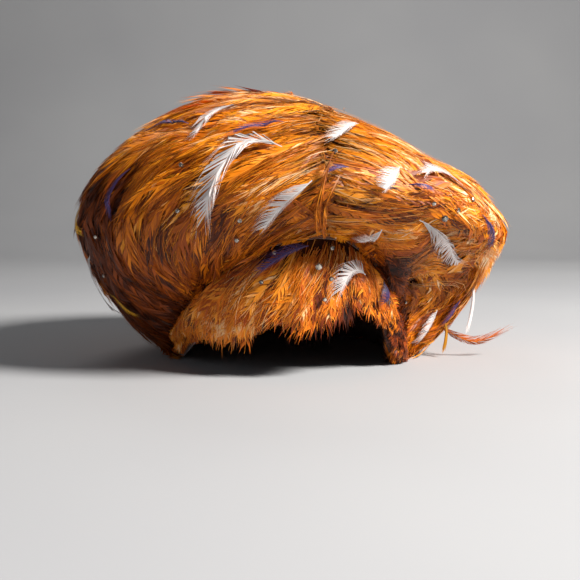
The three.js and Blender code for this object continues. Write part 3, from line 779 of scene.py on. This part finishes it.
def fill(node, sockets):
    """Gives a node's sockets their values, or links them."""
    for name, value in sockets.items():
        if isinstance(value, Shade):
            value.tree.links.new(value.socket, node.inputs[name])
        else:
            node.inputs[name].default_value = value


def set_stops(elements, stops):
    """Makes a ramp's elements the given stops, each a position and a colour."""
    while len(elements) < len(stops):
        elements.new(0.5)
    for element, (position, colour) in zip(elements, stops):
        element.position = position
        element.color = colour


class Shade:
    """A socket in a material, so that shader maths reads like other maths."""

    def __init__(self, tree, socket=None):
        self.tree = tree
        self.socket = socket

    def node(self, kind, settings=None, sockets=None, output=0):
        """A new node: first its settings, a ramp's stops among them, then its sockets."""
        made = self.tree.nodes.new(kind)
        for name, value in (settings or {}).items():
            if name == "stops":
                set_stops(made.color_ramp.elements, value)
            else:
                setattr(made, name, value)
        fill(made, sockets or {})
        return Shade(self.tree, made.outputs[output])

    def beside(self, output):
        """Another output of this socket's node."""
        return Shade(self.tree, self.socket.node.outputs[output])

    def maths(self, operation, *operands):
        return self.node("ShaderNodeMath", {"operation": operation}, dict(enumerate(operands)))

    def __add__(self, other):
        return self.maths("ADD", self, other)

    def __radd__(self, other):
        return self.maths("ADD", other, self)

    def __sub__(self, other):
        return self.maths("SUBTRACT", self, other)

    def __rsub__(self, other):
        return self.maths("SUBTRACT", other, self)

    def __mul__(self, other):
        return self.maths("MULTIPLY", self, other)

    def __rmul__(self, other):
        return self.maths("MULTIPLY", other, self)


def srgb(red, green, blue):
    """A colour given in 0 to 255 as shown, as linear light: c / 12.92 where c is small, else
    ((c + 0.055) / 1.055)^2.4."""
    c = np.array([red, green, blue]) / 255
    return (*np.where(c <= 0.04045, c / 12.92, ((c + 0.055) / 1.055) ** 2.4).tolist(), 1.0)


def new_material(name):
    """A material, its shader, and a Shade that makes its nodes."""
    made = bpy.data.materials.new(name)
    made.use_nodes = True
    return made, made.node_tree.nodes["Principled BSDF"], Shade(made.node_tree)


def clouds(s, size, detail=2.0, roughness=0.5):
    """Noise in the object's own space, as many waves a metre as size says."""
    place = s.node("ShaderNodeTexCoord", output=3)
    sockets = {"Vector": place, "Scale": size, "Detail": detail, "Roughness": roughness}
    return s.node("ShaderNodeTexNoise", None, sockets)


def ramp(s, stops, value):
    """A colour by value, through (position, colour) stops."""
    return s.node("ShaderNodeValToRGB", {"stops": stops}, {0: value})


def feather_material(name, stops, root_painted_shade, streaks=0.3):
    """Colour by tone (u) with fine streaks along the barbs, darker towards the root (v): painted shade where
    the roots lie under other feathers.
    """
    made, bsdf, s = new_material(name)
    coordinates = s.node("ShaderNodeUVMap", {"uv_map": "OFBake"})
    tone = s.node("ShaderNodeSeparateXYZ", None, {0: coordinates})
    along = tone.beside(1)
    stretched = s.node("ShaderNodeCombineXYZ", None, {0: tone * STREAKS_ACROSS, 1: along * STREAKS_ALONG})
    flat = {"noise_dimensions": "2D"}
    grain = s.node("ShaderNodeTexNoise", flat, {"Vector": stretched, "Scale": 1.0, "Detail": 2.0})
    colour = ramp(s, stops, tone + (grain - 0.5) * streaks)
    # Painted shade towards the root
    depth = s.node("ShaderNodeMapRange", {"interpolation_type": "SMOOTHSTEP"}, {
        "Value": along, "From Min": 0.0, "From Max": ROOT_PAINTED_SHADE_ENDS, "To Min": root_painted_shade, "To Max": 1.0})
    grey = s.node("ShaderNodeCombineColor", None, {0: depth, 1: depth, 2: depth})
    multiply = {"data_type": "RGBA", "blend_type": "MULTIPLY"}
    shaded = s.node("ShaderNodeMix", multiply, {0: 1.0, 6: colour, 7: grey}, 2)
    fill(bsdf, {"Base Color": shaded, "Roughness": 0.45, "Specular IOR Level": 0.3})
    return made


def painted_shade_ground_material():
    """A dark streaky sheet between the feathers: its darkness is painted shade deep in the coat."""
    made, bsdf, s = new_material("feather_ground_painted_shade")
    colour = ramp(s, ((0.3, srgb(22, 8, 2)), (0.7, srgb(62, 25, 5))), clouds(s, 160.0, 3.0))
    fill(bsdf, {"Base Color": colour, "Roughness": 0.9, "Specular IOR Level": 0.1})
    return made


def felt_material():
    """Matted felt: brown, with a fine fuzz and faint clouds."""
    made, bsdf, s = new_material("brown_felt")
    fuzz = clouds(s, 900.0, 4.0, 0.7)
    colour = ramp(s, ((0.3, srgb(58, 28, 14)), (0.7, srgb(98, 52, 26))), fuzz * 0.7 + clouds(s, 45.0) * 0.3)
    bump = s.node("ShaderNodeBump", None, {"Height": fuzz, "Strength": 0.5, "Distance": 0.0006})
    fill(bsdf, {"Base Color": colour, "Normal": bump, "Roughness": 0.95, "Sheen Weight": 0.4})
    return made


def stone_material():
    """Clear cut glass with a bright foil behind it."""
    made, bsdf, s = new_material("cut_glass")
    colour = ramp(s, ((0.35, srgb(70, 72, 78)), (0.65, srgb(226, 214, 196))), clouds(s, 400.0))
    fill(bsdf, {
        "Base Color": colour, "Metallic": 0.9, "Roughness": 0.06, "Coat Weight": 1.0, "Coat Roughness": 0.03})
    return made


def floor_material():
    """Pale paper with wide faint clouds."""
    made, bsdf, s = new_material("pale_floor")
    colour = ramp(s, ((0.3, srgb(172, 172, 174)), (0.7, srgb(178, 178, 179))), clouds(s, 3.0))
    fill(bsdf, {"Base Color": colour, "Roughness": 0.8})
    return made


orange = feather_material("orange_hackle", (
    (0.0, srgb(24, 8, 3)), (0.18, srgb(84, 32, 5)), (0.36, srgb(164, 74, 5)),
    (0.55, srgb(226, 124, 6)), (0.78, srgb(248, 158, 30)), (1.0, srgb(255, 214, 164))), 0.35)
rust = feather_material("brow_hackle", (
    (0.0, srgb(34, 10, 3)), (0.18, srgb(100, 36, 5)), (0.36, srgb(180, 78, 6)),
    (0.55, srgb(232, 124, 12)), (0.8, srgb(248, 156, 40)), (1.0, srgb(254, 204, 146))), 0.45)
white = feather_material("white_hackle", (
    (0.0, srgb(150, 128, 120)), (0.45, srgb(214, 204, 200)), (1.0, srgb(252, 246, 244))), 0.6, 0.45)
purple = feather_material("purple_hackle", (
    (0.0, srgb(20, 12, 30)), (0.5, srgb(62, 46, 92)), (1.0, srgb(110, 88, 142))), 0.6)
gold = feather_material("gold_hackle", (
    (0.0, srgb(170, 110, 10)), (0.5, srgb(240, 172, 24)), (1.0, srgb(255, 216, 96))), 0.6, 0.2)
painted_shade_ground = painted_shade_ground_material()
felt = felt_material()
glass = stone_material()
COLOURS = {"white": white, "purple": purple, "gold": gold}


# Felt crown and band

rounds = np.arange(0, TURN, 2.5)


def felt_shell():
    """Both faces of the felt crown as one closed sheet: from the pole down its outside, round
    its turned-down edge in three rows, and up its inside to the pole."""
    downs = np.linspace(0.004, 2, 64)[:, None]
    outside, inside = (felt_point(rounds, downs, depth) for depth in (0.0, FELT))
    depths = np.array([0.0, FELT / 2, FELT])[:, None]
    low = edge_height(rounds) - COLLAR_BELOW_COAT + np.array([EDGE_ROUND, 0.0, EDGE_ROUND])[:, None]
    edge = polar(rounds, head_radius(rounds, 2 * FELT + GAP - depths), low)
    return grid_sheet(np.stack([*with_pole(outside), *edge, *with_pole(inside)[::-1]]))


def band_sheet():
    """The band: a rounded-edge strip of felt round the head, higher over the brow. Its profile
    has a row for each corner: how far out, how far up, and a shift in millimetres."""
    climb = smoothstep(rounds, *BAND_CLIMB_LEFT) * (1 - smoothstep(rounds, *BAND_CLIMB_RIGHT))
    low = GAP + climb * (tip_height(rounds) + BAND_ABOVE_TIPS - GAP)
    high = np.maximum(BAND_HEIGHT_INSIDE, edge_height(rounds) + COAT_AT_EDGE)
    soft = BAND_ROUND
    profile = columns("out up shift", [
        (0, 0, soft), (0, 1, -soft), (soft, 1, 0), (FELT - soft, 1, 0), (FELT, 1, -soft),
        (FELT, 0, soft), (FELT - soft, 0, 0), (soft, 0, 0), (0, 0, soft)])
    out, up, shift = (profile[name][:, None] for name in ("out", "up", "shift"))
    return grid_sheet(polar(rounds, head_radius(rounds, out), low + (high - low) * up + shift))


add_piece("felt_foundation", felt_shell(), felt, "felt_crown")
add_piece("felt_band", band_sheet(), felt, "head_band")


# The ground that the feathers grow from, dark with painted shade between them

def crown_ground():
    """The crown's form, sunk along its normals by GROUND_SUNK, less towards its edge."""
    azimuth, down = np.meshgrid(np.arange(0, TURN, 2), np.linspace(0.01, 2, 110))
    point, _, _, normal = crown_frame(azimuth, down)
    sunk = GROUND_SUNK * np.clip((2 - down) * 4, 0.75, 1) * (1 - 0.35 * smoothstep(down, COAT_THINS_FROM, 2))
    return grid_sheet(np.stack(with_pole(point - normal * sunk[..., None])))


def brow_ground():
    """The brow's form, sunk by BROW_GROUND_SUNK and deeper where it ends above the tips."""
    azimuth, down = np.meshgrid(np.linspace(BROW_FROM, BROW_TO, 150), np.linspace(0.0, 0.9, 24))
    end = smoothstep(down, 0.75, 0.9)
    return grid_sheet(brow_point(azimuth, down, -BROW_GROUND_SUNK - BROW_GROUND_END * end), closed=False)


# Dark sheets under the feathers: painted shade in the gaps between them
add_piece("crown_painted_shade_sheet", crown_ground(), painted_shade_ground, "crown_feathers")
add_piece("brow_painted_shade_sheet", brow_ground(), painted_shade_ground, "brow_feathers")


# What lies on the feathers

def coat_place(surface, azimuth, down):
    """Points on the coat of feathers, with its relief, and their normals."""
    point, _, _, normal = SURFACES[surface][0](azimuth, down)
    if surface == "crown":
        point = point + normal * crown_relief(azimuth, down)[:, None]
    return point, normal


def plume_path(surface, places, stations):
    """The curve through three places, at t = 0, 1/2 and 1, by their weights (1 - t) (1 - 2 t),
    4 t (1 - t) and t (2 t - 1), laid on the coat."""
    t = np.linspace(0, 1, stations)
    weights = np.stack([(1 - t) * (1 - 2 * t), 4 * t * (1 - t), t * (2 * t - 1)], -1)
    at = weights @ np.array(places, float)
    return coat_place(surface, at[:, 0], at[:, 1])


def one_place(surface, azimuth, down):
    """A single point on the coat, and its normal."""
    point, normal = coat_place(surface, np.array([azimuth]), np.array([down]))
    return point[0], normal[0]


stones = [(width, *one_place(surface, *place)) for surface, rows in STONES.items() for *place, width in rows]
kept_clear = [place[None] for _, place, _ in stones]
for rows in PLUMES.values():
    kept_clear += [plume_path(surface, places, 9)[0][1:-1] for surface, *places, _ in rows]
kept_clear = np.concatenate(kept_clear)


def clearing(points):
    """From 0 at the plumes and stones to 1 where the feathers are free to rise."""
    flat = points.reshape(-1, 3)
    nearest = np.full(len(flat), np.inf)
    for place in kept_clear:
        nearest = np.minimum(nearest, np.linalg.norm(flat - place, axis=1))
    return smoothstep(nearest, *CLEARING).reshape(points.shape[:-1])


def raised(points, normals, lift, held):
    """Points moved along their normals: by lift where they are free, by held in a clearing."""
    free = clearing(points)
    return points + normals * (lift * free + (1 - free) * held)[..., None]


# Feathers of the crown

def crown_roots(count, around, downs, seed):
    """Roots spread evenly over the crown's area: more than are needed, and of these each is
    chosen as often as its patch of the surface is large."""
    r = np.random.default_rng(seed)
    azimuth = r.uniform(*around, count * ROOTS_TO_CHOOSE)
    down = r.uniform(*downs, count * ROOTS_TO_CHOOSE)
    _, along, across, _ = crown_frame(azimuth, down)
    area = np.linalg.norm(np.cross(along, across), axis=-1)
    chosen = r.choice(len(area), count, replace=False, p=area / area.sum())
    return azimuth[chosen], down[chosen]


def crown_streaks(azimuth, down, points):
    """Long bands along the way the feathers lie: a wavy field that changes quickly across
    the strands and slowly along them."""
    strand = np.radians(strand_azimuth(azimuth, down))
    around = np.stack([STRAND_RING * np.cos(strand), STRAND_RING * np.sin(strand), STRAND_DOWN * down], -1)
    over = points * TOP_STRETCH
    side = smoothstep(down, *STREAKS_MEET)
    return wave(around, "streaks") * side + wave(over, "top streaks") * (1 - side)


def crown_painted_shade(spots):
    """What the painted shade of the table leaves of the tone: 1 less depth times a bell over the
    azimuth times a fall with height, for each of its rows. On the left side it also stands for
    darker feathers."""
    at = np.mod(np.degrees(np.arctan2(spots[:, 1], spots[:, 0] - CENTRE_X)), TURN)
    kept = np.ones(len(spots))
    for azimuth, reach, low, high, depth in PAINTED_SHADES:
        bell = np.exp(-((at - azimuth) / reach) ** 2)
        kept = kept * (1 - depth * (bell * (1 - smoothstep(spots[:, 2], low, high))))
    return kept


def crown_strands(r, count, seed, lengths, loose, stations, around=(0, TURN), downs=CROWN_ROOTS, hang=0):
    """Strands from seeded roots, up to half as long near the edge. They turn and curl by wavy
    fields that neighbours share, and by a chance of their own that loose gives in degrees.
    Returns their roots, points and normals, the height of the locks there, and the streaks."""
    azimuth, down = crown_roots(count, around, downs, seed)
    roots = crown_point(azimuth, down)
    length = r.uniform(*lengths, count) * (1 - 0.5 * smoothstep(down, *SHORTER))
    turn = CROWN_TURN * wave(roots, "turn") + r.normal(0, loose[0], count)
    curl = r.normal(0, loose[1], count) + CROWN_CURL * wave(roots, "curl")
    aside = r.normal(0, CROSSING, count)
    points, normals = trace("crown", azimuth, down, length, turn + hang, curl, stations, aside)
    streaks = crown_streaks(azimuth, down, roots)
    locks = LOCKS_LIFT * crown_relief(azimuth, down) + STREAKS_LIFT * streaks
    return roots, points, normals, locks + SWELLS_LIFT * wave(roots, "swells"), streaks


def crown_layer(name, count, seed, lengths, widths, rises, barbs, paler, **where):
    """A layer of feathers that rise by rise * t^FEATHER_RISE from under the coat's surface, and a
    few that flare by t^FLARE_RISE. Each rolls a little about its way; paler adds to its tone."""
    r = np.random.default_rng(seed)
    roots, points, normals, locks, streaks = crown_strands(
        r, count, seed + 1, lengths, loose=(3, 7), stations=CROWN_STATIONS, **where)
    t = np.linspace(0, 1, CROWN_STATIONS)
    rise = r.uniform(*rises, count)
    flare = np.where(r.uniform(size=count) < FLARED, r.uniform(*FLARES, count), 0)
    lift = LOWEST_ROOT + locks[:, None] + rise[:, None] * t ** FEATHER_RISE + flare[:, None] * t ** FLARE_RISE
    points = raised(points, normals, lift, np.minimum(lift, HELD_DOWN))
    roll = np.radians(r.normal(0, ROLL, count))[:, None, None]
    sides = unit(np.cross(normals, np.gradient(points, axis=1)))
    normals = unit(normals * np.cos(roll) + sides * np.sin(roll))
    clump = CLUMP_TONE * wave(roots, "clumps") + STREAK_TONE * streaks
    tone = CROWN_TONE + paler + clump + r.normal(0, CROWN_TONE_CHANCE, count)
    # Painted shade in the hollow, on the lobe's underside and under the crest; on the left side partly
    # painted shade, partly darker feathers
    tone = np.clip(tone * crown_painted_shade(points[:, 4]), *FEATHER_TONES)
    width = r.uniform(*widths, count)
    camber = r.uniform(0.05, 0.35, count)
    uneven = r.uniform(-0.5, 0.5, count)
    sheet = feather_sheets(points, normals, width, tone, barbs, camber, uneven, seed + 2)
    add_piece(name, above_floor(sheet), orange)


# Count, seed, lengths, widths, rises, barbs a side, and how much paler
crown_layer("crown_hackles_1", 1900, 101, (60, 95), (12, 20), (3.0, 5.5), 12, -0.16)
crown_layer("crown_hackles_2", 1900, 102, (55, 90), (11, 18), (4.0, 6.5), 12, -0.04)
crown_layer("crown_hackles_3", 1900, 103, (50, 85), (9, 16), (5.0, 7.5), 12, 0.04)
crown_layer("crown_hackles_4", 1300, 104, (50, 90), (9, 15), (5.5, 8.0), 13, 0.1)
crown_layer("hollow_hackles", 620, 106, (30, 60), (9, 15), (2.0, 5.0), 12, -0.05,
            around=(280, 350), downs=(1.35, 1.93), hang=-65)
crown_layer("parting_hackles", 300, 108, (50, 80), (8, 13), (3.0, 6.0), 12, 0.02,
            around=(275, 284), downs=(0.3, 1.5), hang=-12)


def crown_wisps(name, count, seed):
    """Loose barbs that rise by t^WISP_RISE from about the coat's surface; a few are paler, as a painted
    highlight.
    """
    r = np.random.default_rng(seed)
    roots, points, normals, locks, streaks = crown_strands(
        r, count, seed + 1, lengths=(26, 70), loose=(3.5, 9), stations=WISP_STATIONS)
    t = np.linspace(0, 1, WISP_STATIONS)
    start = r.uniform(-3.0, 0.8, count) + locks
    lift = start[:, None] + r.uniform(0, 3.0, count)[:, None] * t ** WISP_RISE
    points = raised(points, normals, lift, WISP_HELD_DOWN)
    clump = CLUMP_TONE * wave(roots, "clumps") + WISP_STREAK_TONE * streaks
    # A few loose barbs paler: a painted highlight
    painted_sheen = np.where(r.uniform(size=count) < PAINTED_SHEEN_SHARE, PAINTED_SHEEN, 0)
    tone = WISP_TONE + clump + painted_sheen + r.normal(0, WISP_TONE_CHANCE, count)
    # Painted shade in the hollow, on the lobe's underside and under the crest; on the left side partly
    # painted shade, partly darker feathers
    tone = np.clip(tone * crown_painted_shade(points[:, 3]), *WISP_TONES)
    sheet = filaments(points, normals, r.uniform(0.22, 0.5, count), tone)
    add_piece(name, above_floor(sheet), orange)


crown_wisps("crown_wisps_1", 8000, 201)
crown_wisps("crown_wisps_2", 8000, 202)


def parting_lock():
    """Narrow feathers that hang together over the parting, bowed one beside the other."""
    paths = [plume_path("crown", places, PLUME_STATIONS) for places in LOCK_PLACES]
    arch = np.sin(np.pi * np.linspace(0, 1, PLUME_STATIONS))[None, :, None]
    normals = np.stack([path[1] for path in paths])
    points = np.stack([path[0] for path in paths]) + normals * (2.4 + 2.2 * arch)
    widths = np.array([5.0, 4.0, 3.5])
    tones = np.array([0.4, 0.52, 0.46])
    uneven = np.array([-0.3, 0.2, 0.4])
    sheet = feather_sheets(points, normals, widths, tones, PLUME_BARBS, 0.2, uneven, 225, full=0.3)
    add_piece("parting_lock", sheet, orange)


parting_lock()


# Feathers of the brow

def brow_length(r, azimuth, down, reaches):
    """Far enough along the slanting way to end about level with the fringe, times a chance."""
    past = np.interp(azimuth, FRINGE["azimuth"], FRINGE["past"])
    tall = (edge_height(azimuth) - tip_height(azimuth)).clip(SHORTEST_FRINGE) + past
    slant = np.cos(np.radians(np.interp(azimuth, BROW_FLOW["azimuth"], BROW_FLOW["angle"])))
    fingers = wave(np.stack([azimuth, 0 * azimuth, 0 * azimuth], -1), "fingers")
    ragged = 1 + (RAGGED + RAGGED_RIGHT * smoothstep(azimuth, *RAGGED_FROM)) * fingers
    return tall * (1 - down) / slant * ragged * r.uniform(*reaches, len(azimuth))


def brow_strands(r, count, beyond, downs, reaches, lengths, turning, loose, stations):
    """Strands from roots between the brow's ends and beyond them, that turn by a wavy field
    and by chances of loose degrees. Returns the roots, their painted shade beside the hollow and
    under the crease, the points and normals."""
    azimuth = r.uniform(BROW_FROM - beyond[0], BROW_TO + beyond[1], count)
    down = r.uniform(*downs, count)
    length = np.clip(brow_length(r, azimuth, down, reaches), *lengths)
    roots = brow_point(azimuth, down)
    turn = turning[0] * wave(roots, turning[1]) + r.normal(0, loose[0], count)
    points, normals = trace("brow", azimuth, down, length, turn, r.normal(0, loose[1], count), stations)
    # Painted shade under the crease and beside the hollow
    crease = UNDER_CREASE_PAINTED_SHADE * (1 - smoothstep(down, 0.0, UNDER_CREASE))
    return roots, BESIDE_HOLLOW_PAINTED_SHADE * smoothstep(azimuth, *BESIDE_HOLLOW) + crease, points, normals


def brow_layer(name, count, seed, paler, rises):
    """A layer of feathers on the band, that rise by t^FEATHER_RISE from under the coat's surface.
    They are darker beside the hollow and under the crease, by painted shade."""
    r = np.random.default_rng(seed)
    roots, shade, points, normals = brow_strands(
        r, count, beyond=(2, 6), downs=(-0.05, 0.66), reaches=(0.5, 0.98), lengths=(14, 60),
        turning=(9, "brow turn"), loose=(8, 14), stations=BROW_STATIONS)
    rise = r.uniform(*rises, count) + BROW_SWELLS_LIFT * wave(roots, "brow swells")
    lift = BROW_LOWEST_ROOT + rise[:, None] * np.linspace(0, 1, BROW_STATIONS) ** FEATHER_RISE
    points = raised(points, normals, lift, np.minimum(lift, BROW_HELD_DOWN))
    # shade here is the painted shade beside the hollow and under the crease
    clump = BROW_CLUMP_TONE * wave(roots, "brow clumps") + shade
    tone = np.clip(BROW_TONE + paler + clump + r.normal(0, BROW_TONE_CHANCE, count), *FEATHER_TONES)
    width = r.uniform(8, 14, count)
    camber = r.uniform(0.05, 0.3, count)
    uneven = r.uniform(-0.4, 0.4, count)
    sheet = feather_sheets(points, normals, width, tone, 11, camber, uneven, seed + 2)
    add_piece(name, above_floor(sheet), rust)


brow_layer("brow_hackles_1", 520, 301, -0.16, (2.0, 4.0))
brow_layer("brow_hackles_2", 420, 311, 0.1, (3.0, 6.0))


def brow_wisps(name, count, seed):
    """Loose barbs on the brow, that rise by t^WISP_RISE."""
    r = np.random.default_rng(seed)
    _, shade, points, normals = brow_strands(
        r, count, beyond=(0, 0), downs=(0.0, 0.85), reaches=(0.4, 1.0), lengths=(8, 34),
        turning=(10, "wisp turn"), loose=(9, 18), stations=WISP_STATIONS)
    t = np.linspace(0, 1, WISP_STATIONS)
    lift = r.uniform(-1.5, 1.5, count)[:, None] + r.uniform(0, 2.5, count)[:, None] * t ** WISP_RISE
    points = raised(points, normals, lift, BROW_WISP_HELD_DOWN)
    # shade here is the painted shade beside the hollow and under the crease
    tone = np.clip(BROW_WISP_TONE + shade + r.normal(0, BROW_WISP_TONE_CHANCE, count), *WISP_TONES)
    sheet = filaments(points, normals, r.uniform(0.25, 0.55, count), tone)
    add_piece(name, above_floor(sheet), rust)


brow_wisps("brow_wisps", 1800, 401)


# Single feathers of other colours

def plume(colour, number, surface, places, width, seed):
    """A single feather, held over the coat by lift * (0.45 + 0.55 sin(pi t))."""
    points, normals = plume_path(surface, places, PLUME_STATIONS)
    arch = np.sin(np.pi * np.linspace(0, 1, PLUME_STATIONS))
    points = points + normals * (PLUME_LIFT * (0.45 + 0.55 * arch))[:, None]
    sheet = feather_sheets(
        points[None], normals[None], width * PLUME_WIDER, PLUME_TONE, PLUME_BARBS, PLUME_CAMBER,
        PLUME_UNEVEN, seed, PLUME_FULL)
    name = f"{colour}_hackle_{number}"
    add_piece(name, above_floor(sheet), COLOURS[colour], f"{colour}_feather_{number}")


plume_seed = PLUME_SEED
for colour, rows in PLUMES.items():
    for number, (surface, *places, width) in enumerate(rows, 1):
        plume(colour, number, surface, places, width, plume_seed)
        plume_seed += 1


def trailing_plume():
    """A thin plume with long loose barbs, along the cubic through its points whose slope at
    each is half the way between its neighbours."""
    corners = one_place("crown", *TRAIL_ROOT)[0] + np.array(TRAIL_POINTS, float)
    at = np.linspace(0, 3, 15)
    i = np.clip(at.astype(int), 0, 2)
    t = (at - i)[:, None]
    around = np.concatenate([[2 * corners[0] - corners[1]], corners, [2 * corners[-1] - corners[-2]]])
    a, b, c, d = (around[i + k] for k in range(4))
    square = 2 * a - 5 * b + 4 * c - d
    cube = 3 * b - a - 3 * c + d
    path = 0.5 * (2 * b + (c - a) * t + square * t ** 2 + cube * t ** 3)
    normals = np.broadcast_to(FORWARD, path.shape)
    sheet = feather_sheets(
        path[None], normals[None], width=7.0, tone=0.36, barbs=44, camber=0.3, uneven=0.0, seed=611)
    add_piece("trailing_hackle", above_floor(sheet), rust, "trailing_plume")


trailing_plume()


def hanging_strand(colour, root, bends, width, tone):
    """A few barbs that hang together from the end of the lobe along the quadratic curve
    root + 2 t (1 - t) bends[0] + t^2 bends[1], and spread towards their tips."""
    r = np.random.default_rng(631)
    start = one_place("crown", *root)[0]
    t = np.linspace(0, 1, 9)[:, None]
    path = start + 2 * t * (1 - t) * np.array(bends[0], float) + t * t * np.array(bends[1], float)
    points = path[None] + r.normal(0, 1.0, (HANGING_BARBS, 1, 3)) * (0.25 + 0.75 * t)[None]
    normals = np.broadcast_to(FORWARD, points.shape)
    sheet = filaments(points, normals, np.full(HANGING_BARBS, width), np.full(HANGING_BARBS, tone))
    add_piece(f"hanging_{colour}", above_floor(sheet), COLOURS[colour])


hanging_strand("white", (351, 1.33), ((1, -3, -14), (-5, -4, -36)), 1.3, 0.8)
hanging_strand("gold", (351, 1.58), ((2, -4, -6), (-2, -5, -21)), 1.1, 0.1)


# Cut stones

def stone_sheet(place, normal, width):
    """A cut stone: eight corners round each of its rings, from its table to its point."""
    x = unit(np.cross(normal, [0.0, 0.0, 1.0]) + [1e-6, 0, 0])
    y = np.cross(normal, x)
    angle = np.radians(np.arange(8) * 45.0 + STONE_RINGS["turned"][:, None])[..., None]
    across = (STONE_RINGS["across"] * width / 2)[:, None, None]
    high = (STONE_RINGS["height"] + STONE_RINGS["share"] * width)[:, None, None]
    return grid_sheet(place + across * (np.cos(angle) * x + np.sin(angle) * y) + normal * high)


for number, (width, place, normal) in enumerate(stones, 1):
    sheet = stone_sheet(place, normal, width)
    add_piece(f"rhinestone_{number}", sheet, glass, f"stone_{number}", smooth=False)


# Stage, light and camera

def floor_points():
    """A floor that curves up into a backdrop: flat to y = 1.2, then a quarter circle and a wall."""
    a = np.radians(np.linspace(0, 90, 20))
    y = np.concatenate([[-3.0, 0.0], 1.2 + 0.8 * np.sin(a), [2.0]]) / MM
    z = np.concatenate([[0.0, 0.0], 0.8 * (1 - np.cos(a)), [3.0]]) / MM
    x = np.linspace(3, -3, 7) / MM
    return np.stack(np.broadcast_arrays(x[None, :], y[:, None], z[:, None]), -1)


new_mesh("floor", *grid_sheet(floor_points(), closed=False), floor_material())

world = bpy.data.worlds.new("studio")
world.use_nodes = True
fill(world.node_tree.nodes["Background"], {"Color": (0.55, 0.58, 0.62, 1), "Strength": 0.12})
bpy.context.scene.world = world
bpy.context.scene.view_settings.view_transform = "Standard"


def aim(made, place, target):
    """Puts a light or camera at its place, turned to look at the target."""
    made.location = place
    made.rotation_mode = "QUATERNION"
    made.rotation_quaternion = (Vector(target) - Vector(place)).to_track_quat("-Z", "Y")
    bpy.context.scene.collection.objects.link(made)


def soft_light(name, place, target, size, power, colour):
    """A round area light, aimed at its target."""
    lamp = bpy.data.lights.new(name, "AREA")
    lamp.shape = "DISK"
    lamp.size = size
    lamp.energy = power
    lamp.color = colour
    made = bpy.data.objects.new(name, lamp)
    aim(made, place, target)


soft_light("key", (1.15, -0.7, 1.2), (0, 0, 0.08), 0.45, 68, (1.0, 0.98, 0.95))
soft_light("fill", (-1.3, -0.9, 0.6), (0, 0, 0.08), 1.2, 1.7, (0.85, 0.92, 1.0))
soft_light("rim", (-0.4, 1.2, 1.4), (0, 0, 0.1), 0.8, 3.5, (1.0, 1.0, 1.0))

lens = bpy.data.cameras.new("camera")
lens.lens = CAMERA_LENS
lens.sensor_width = CAMERA_SENSOR
camera = bpy.data.objects.new("camera", lens)
aim(camera, CAMERA_PLACE, CAMERA_TARGET)
bpy.context.scene.camera = camera
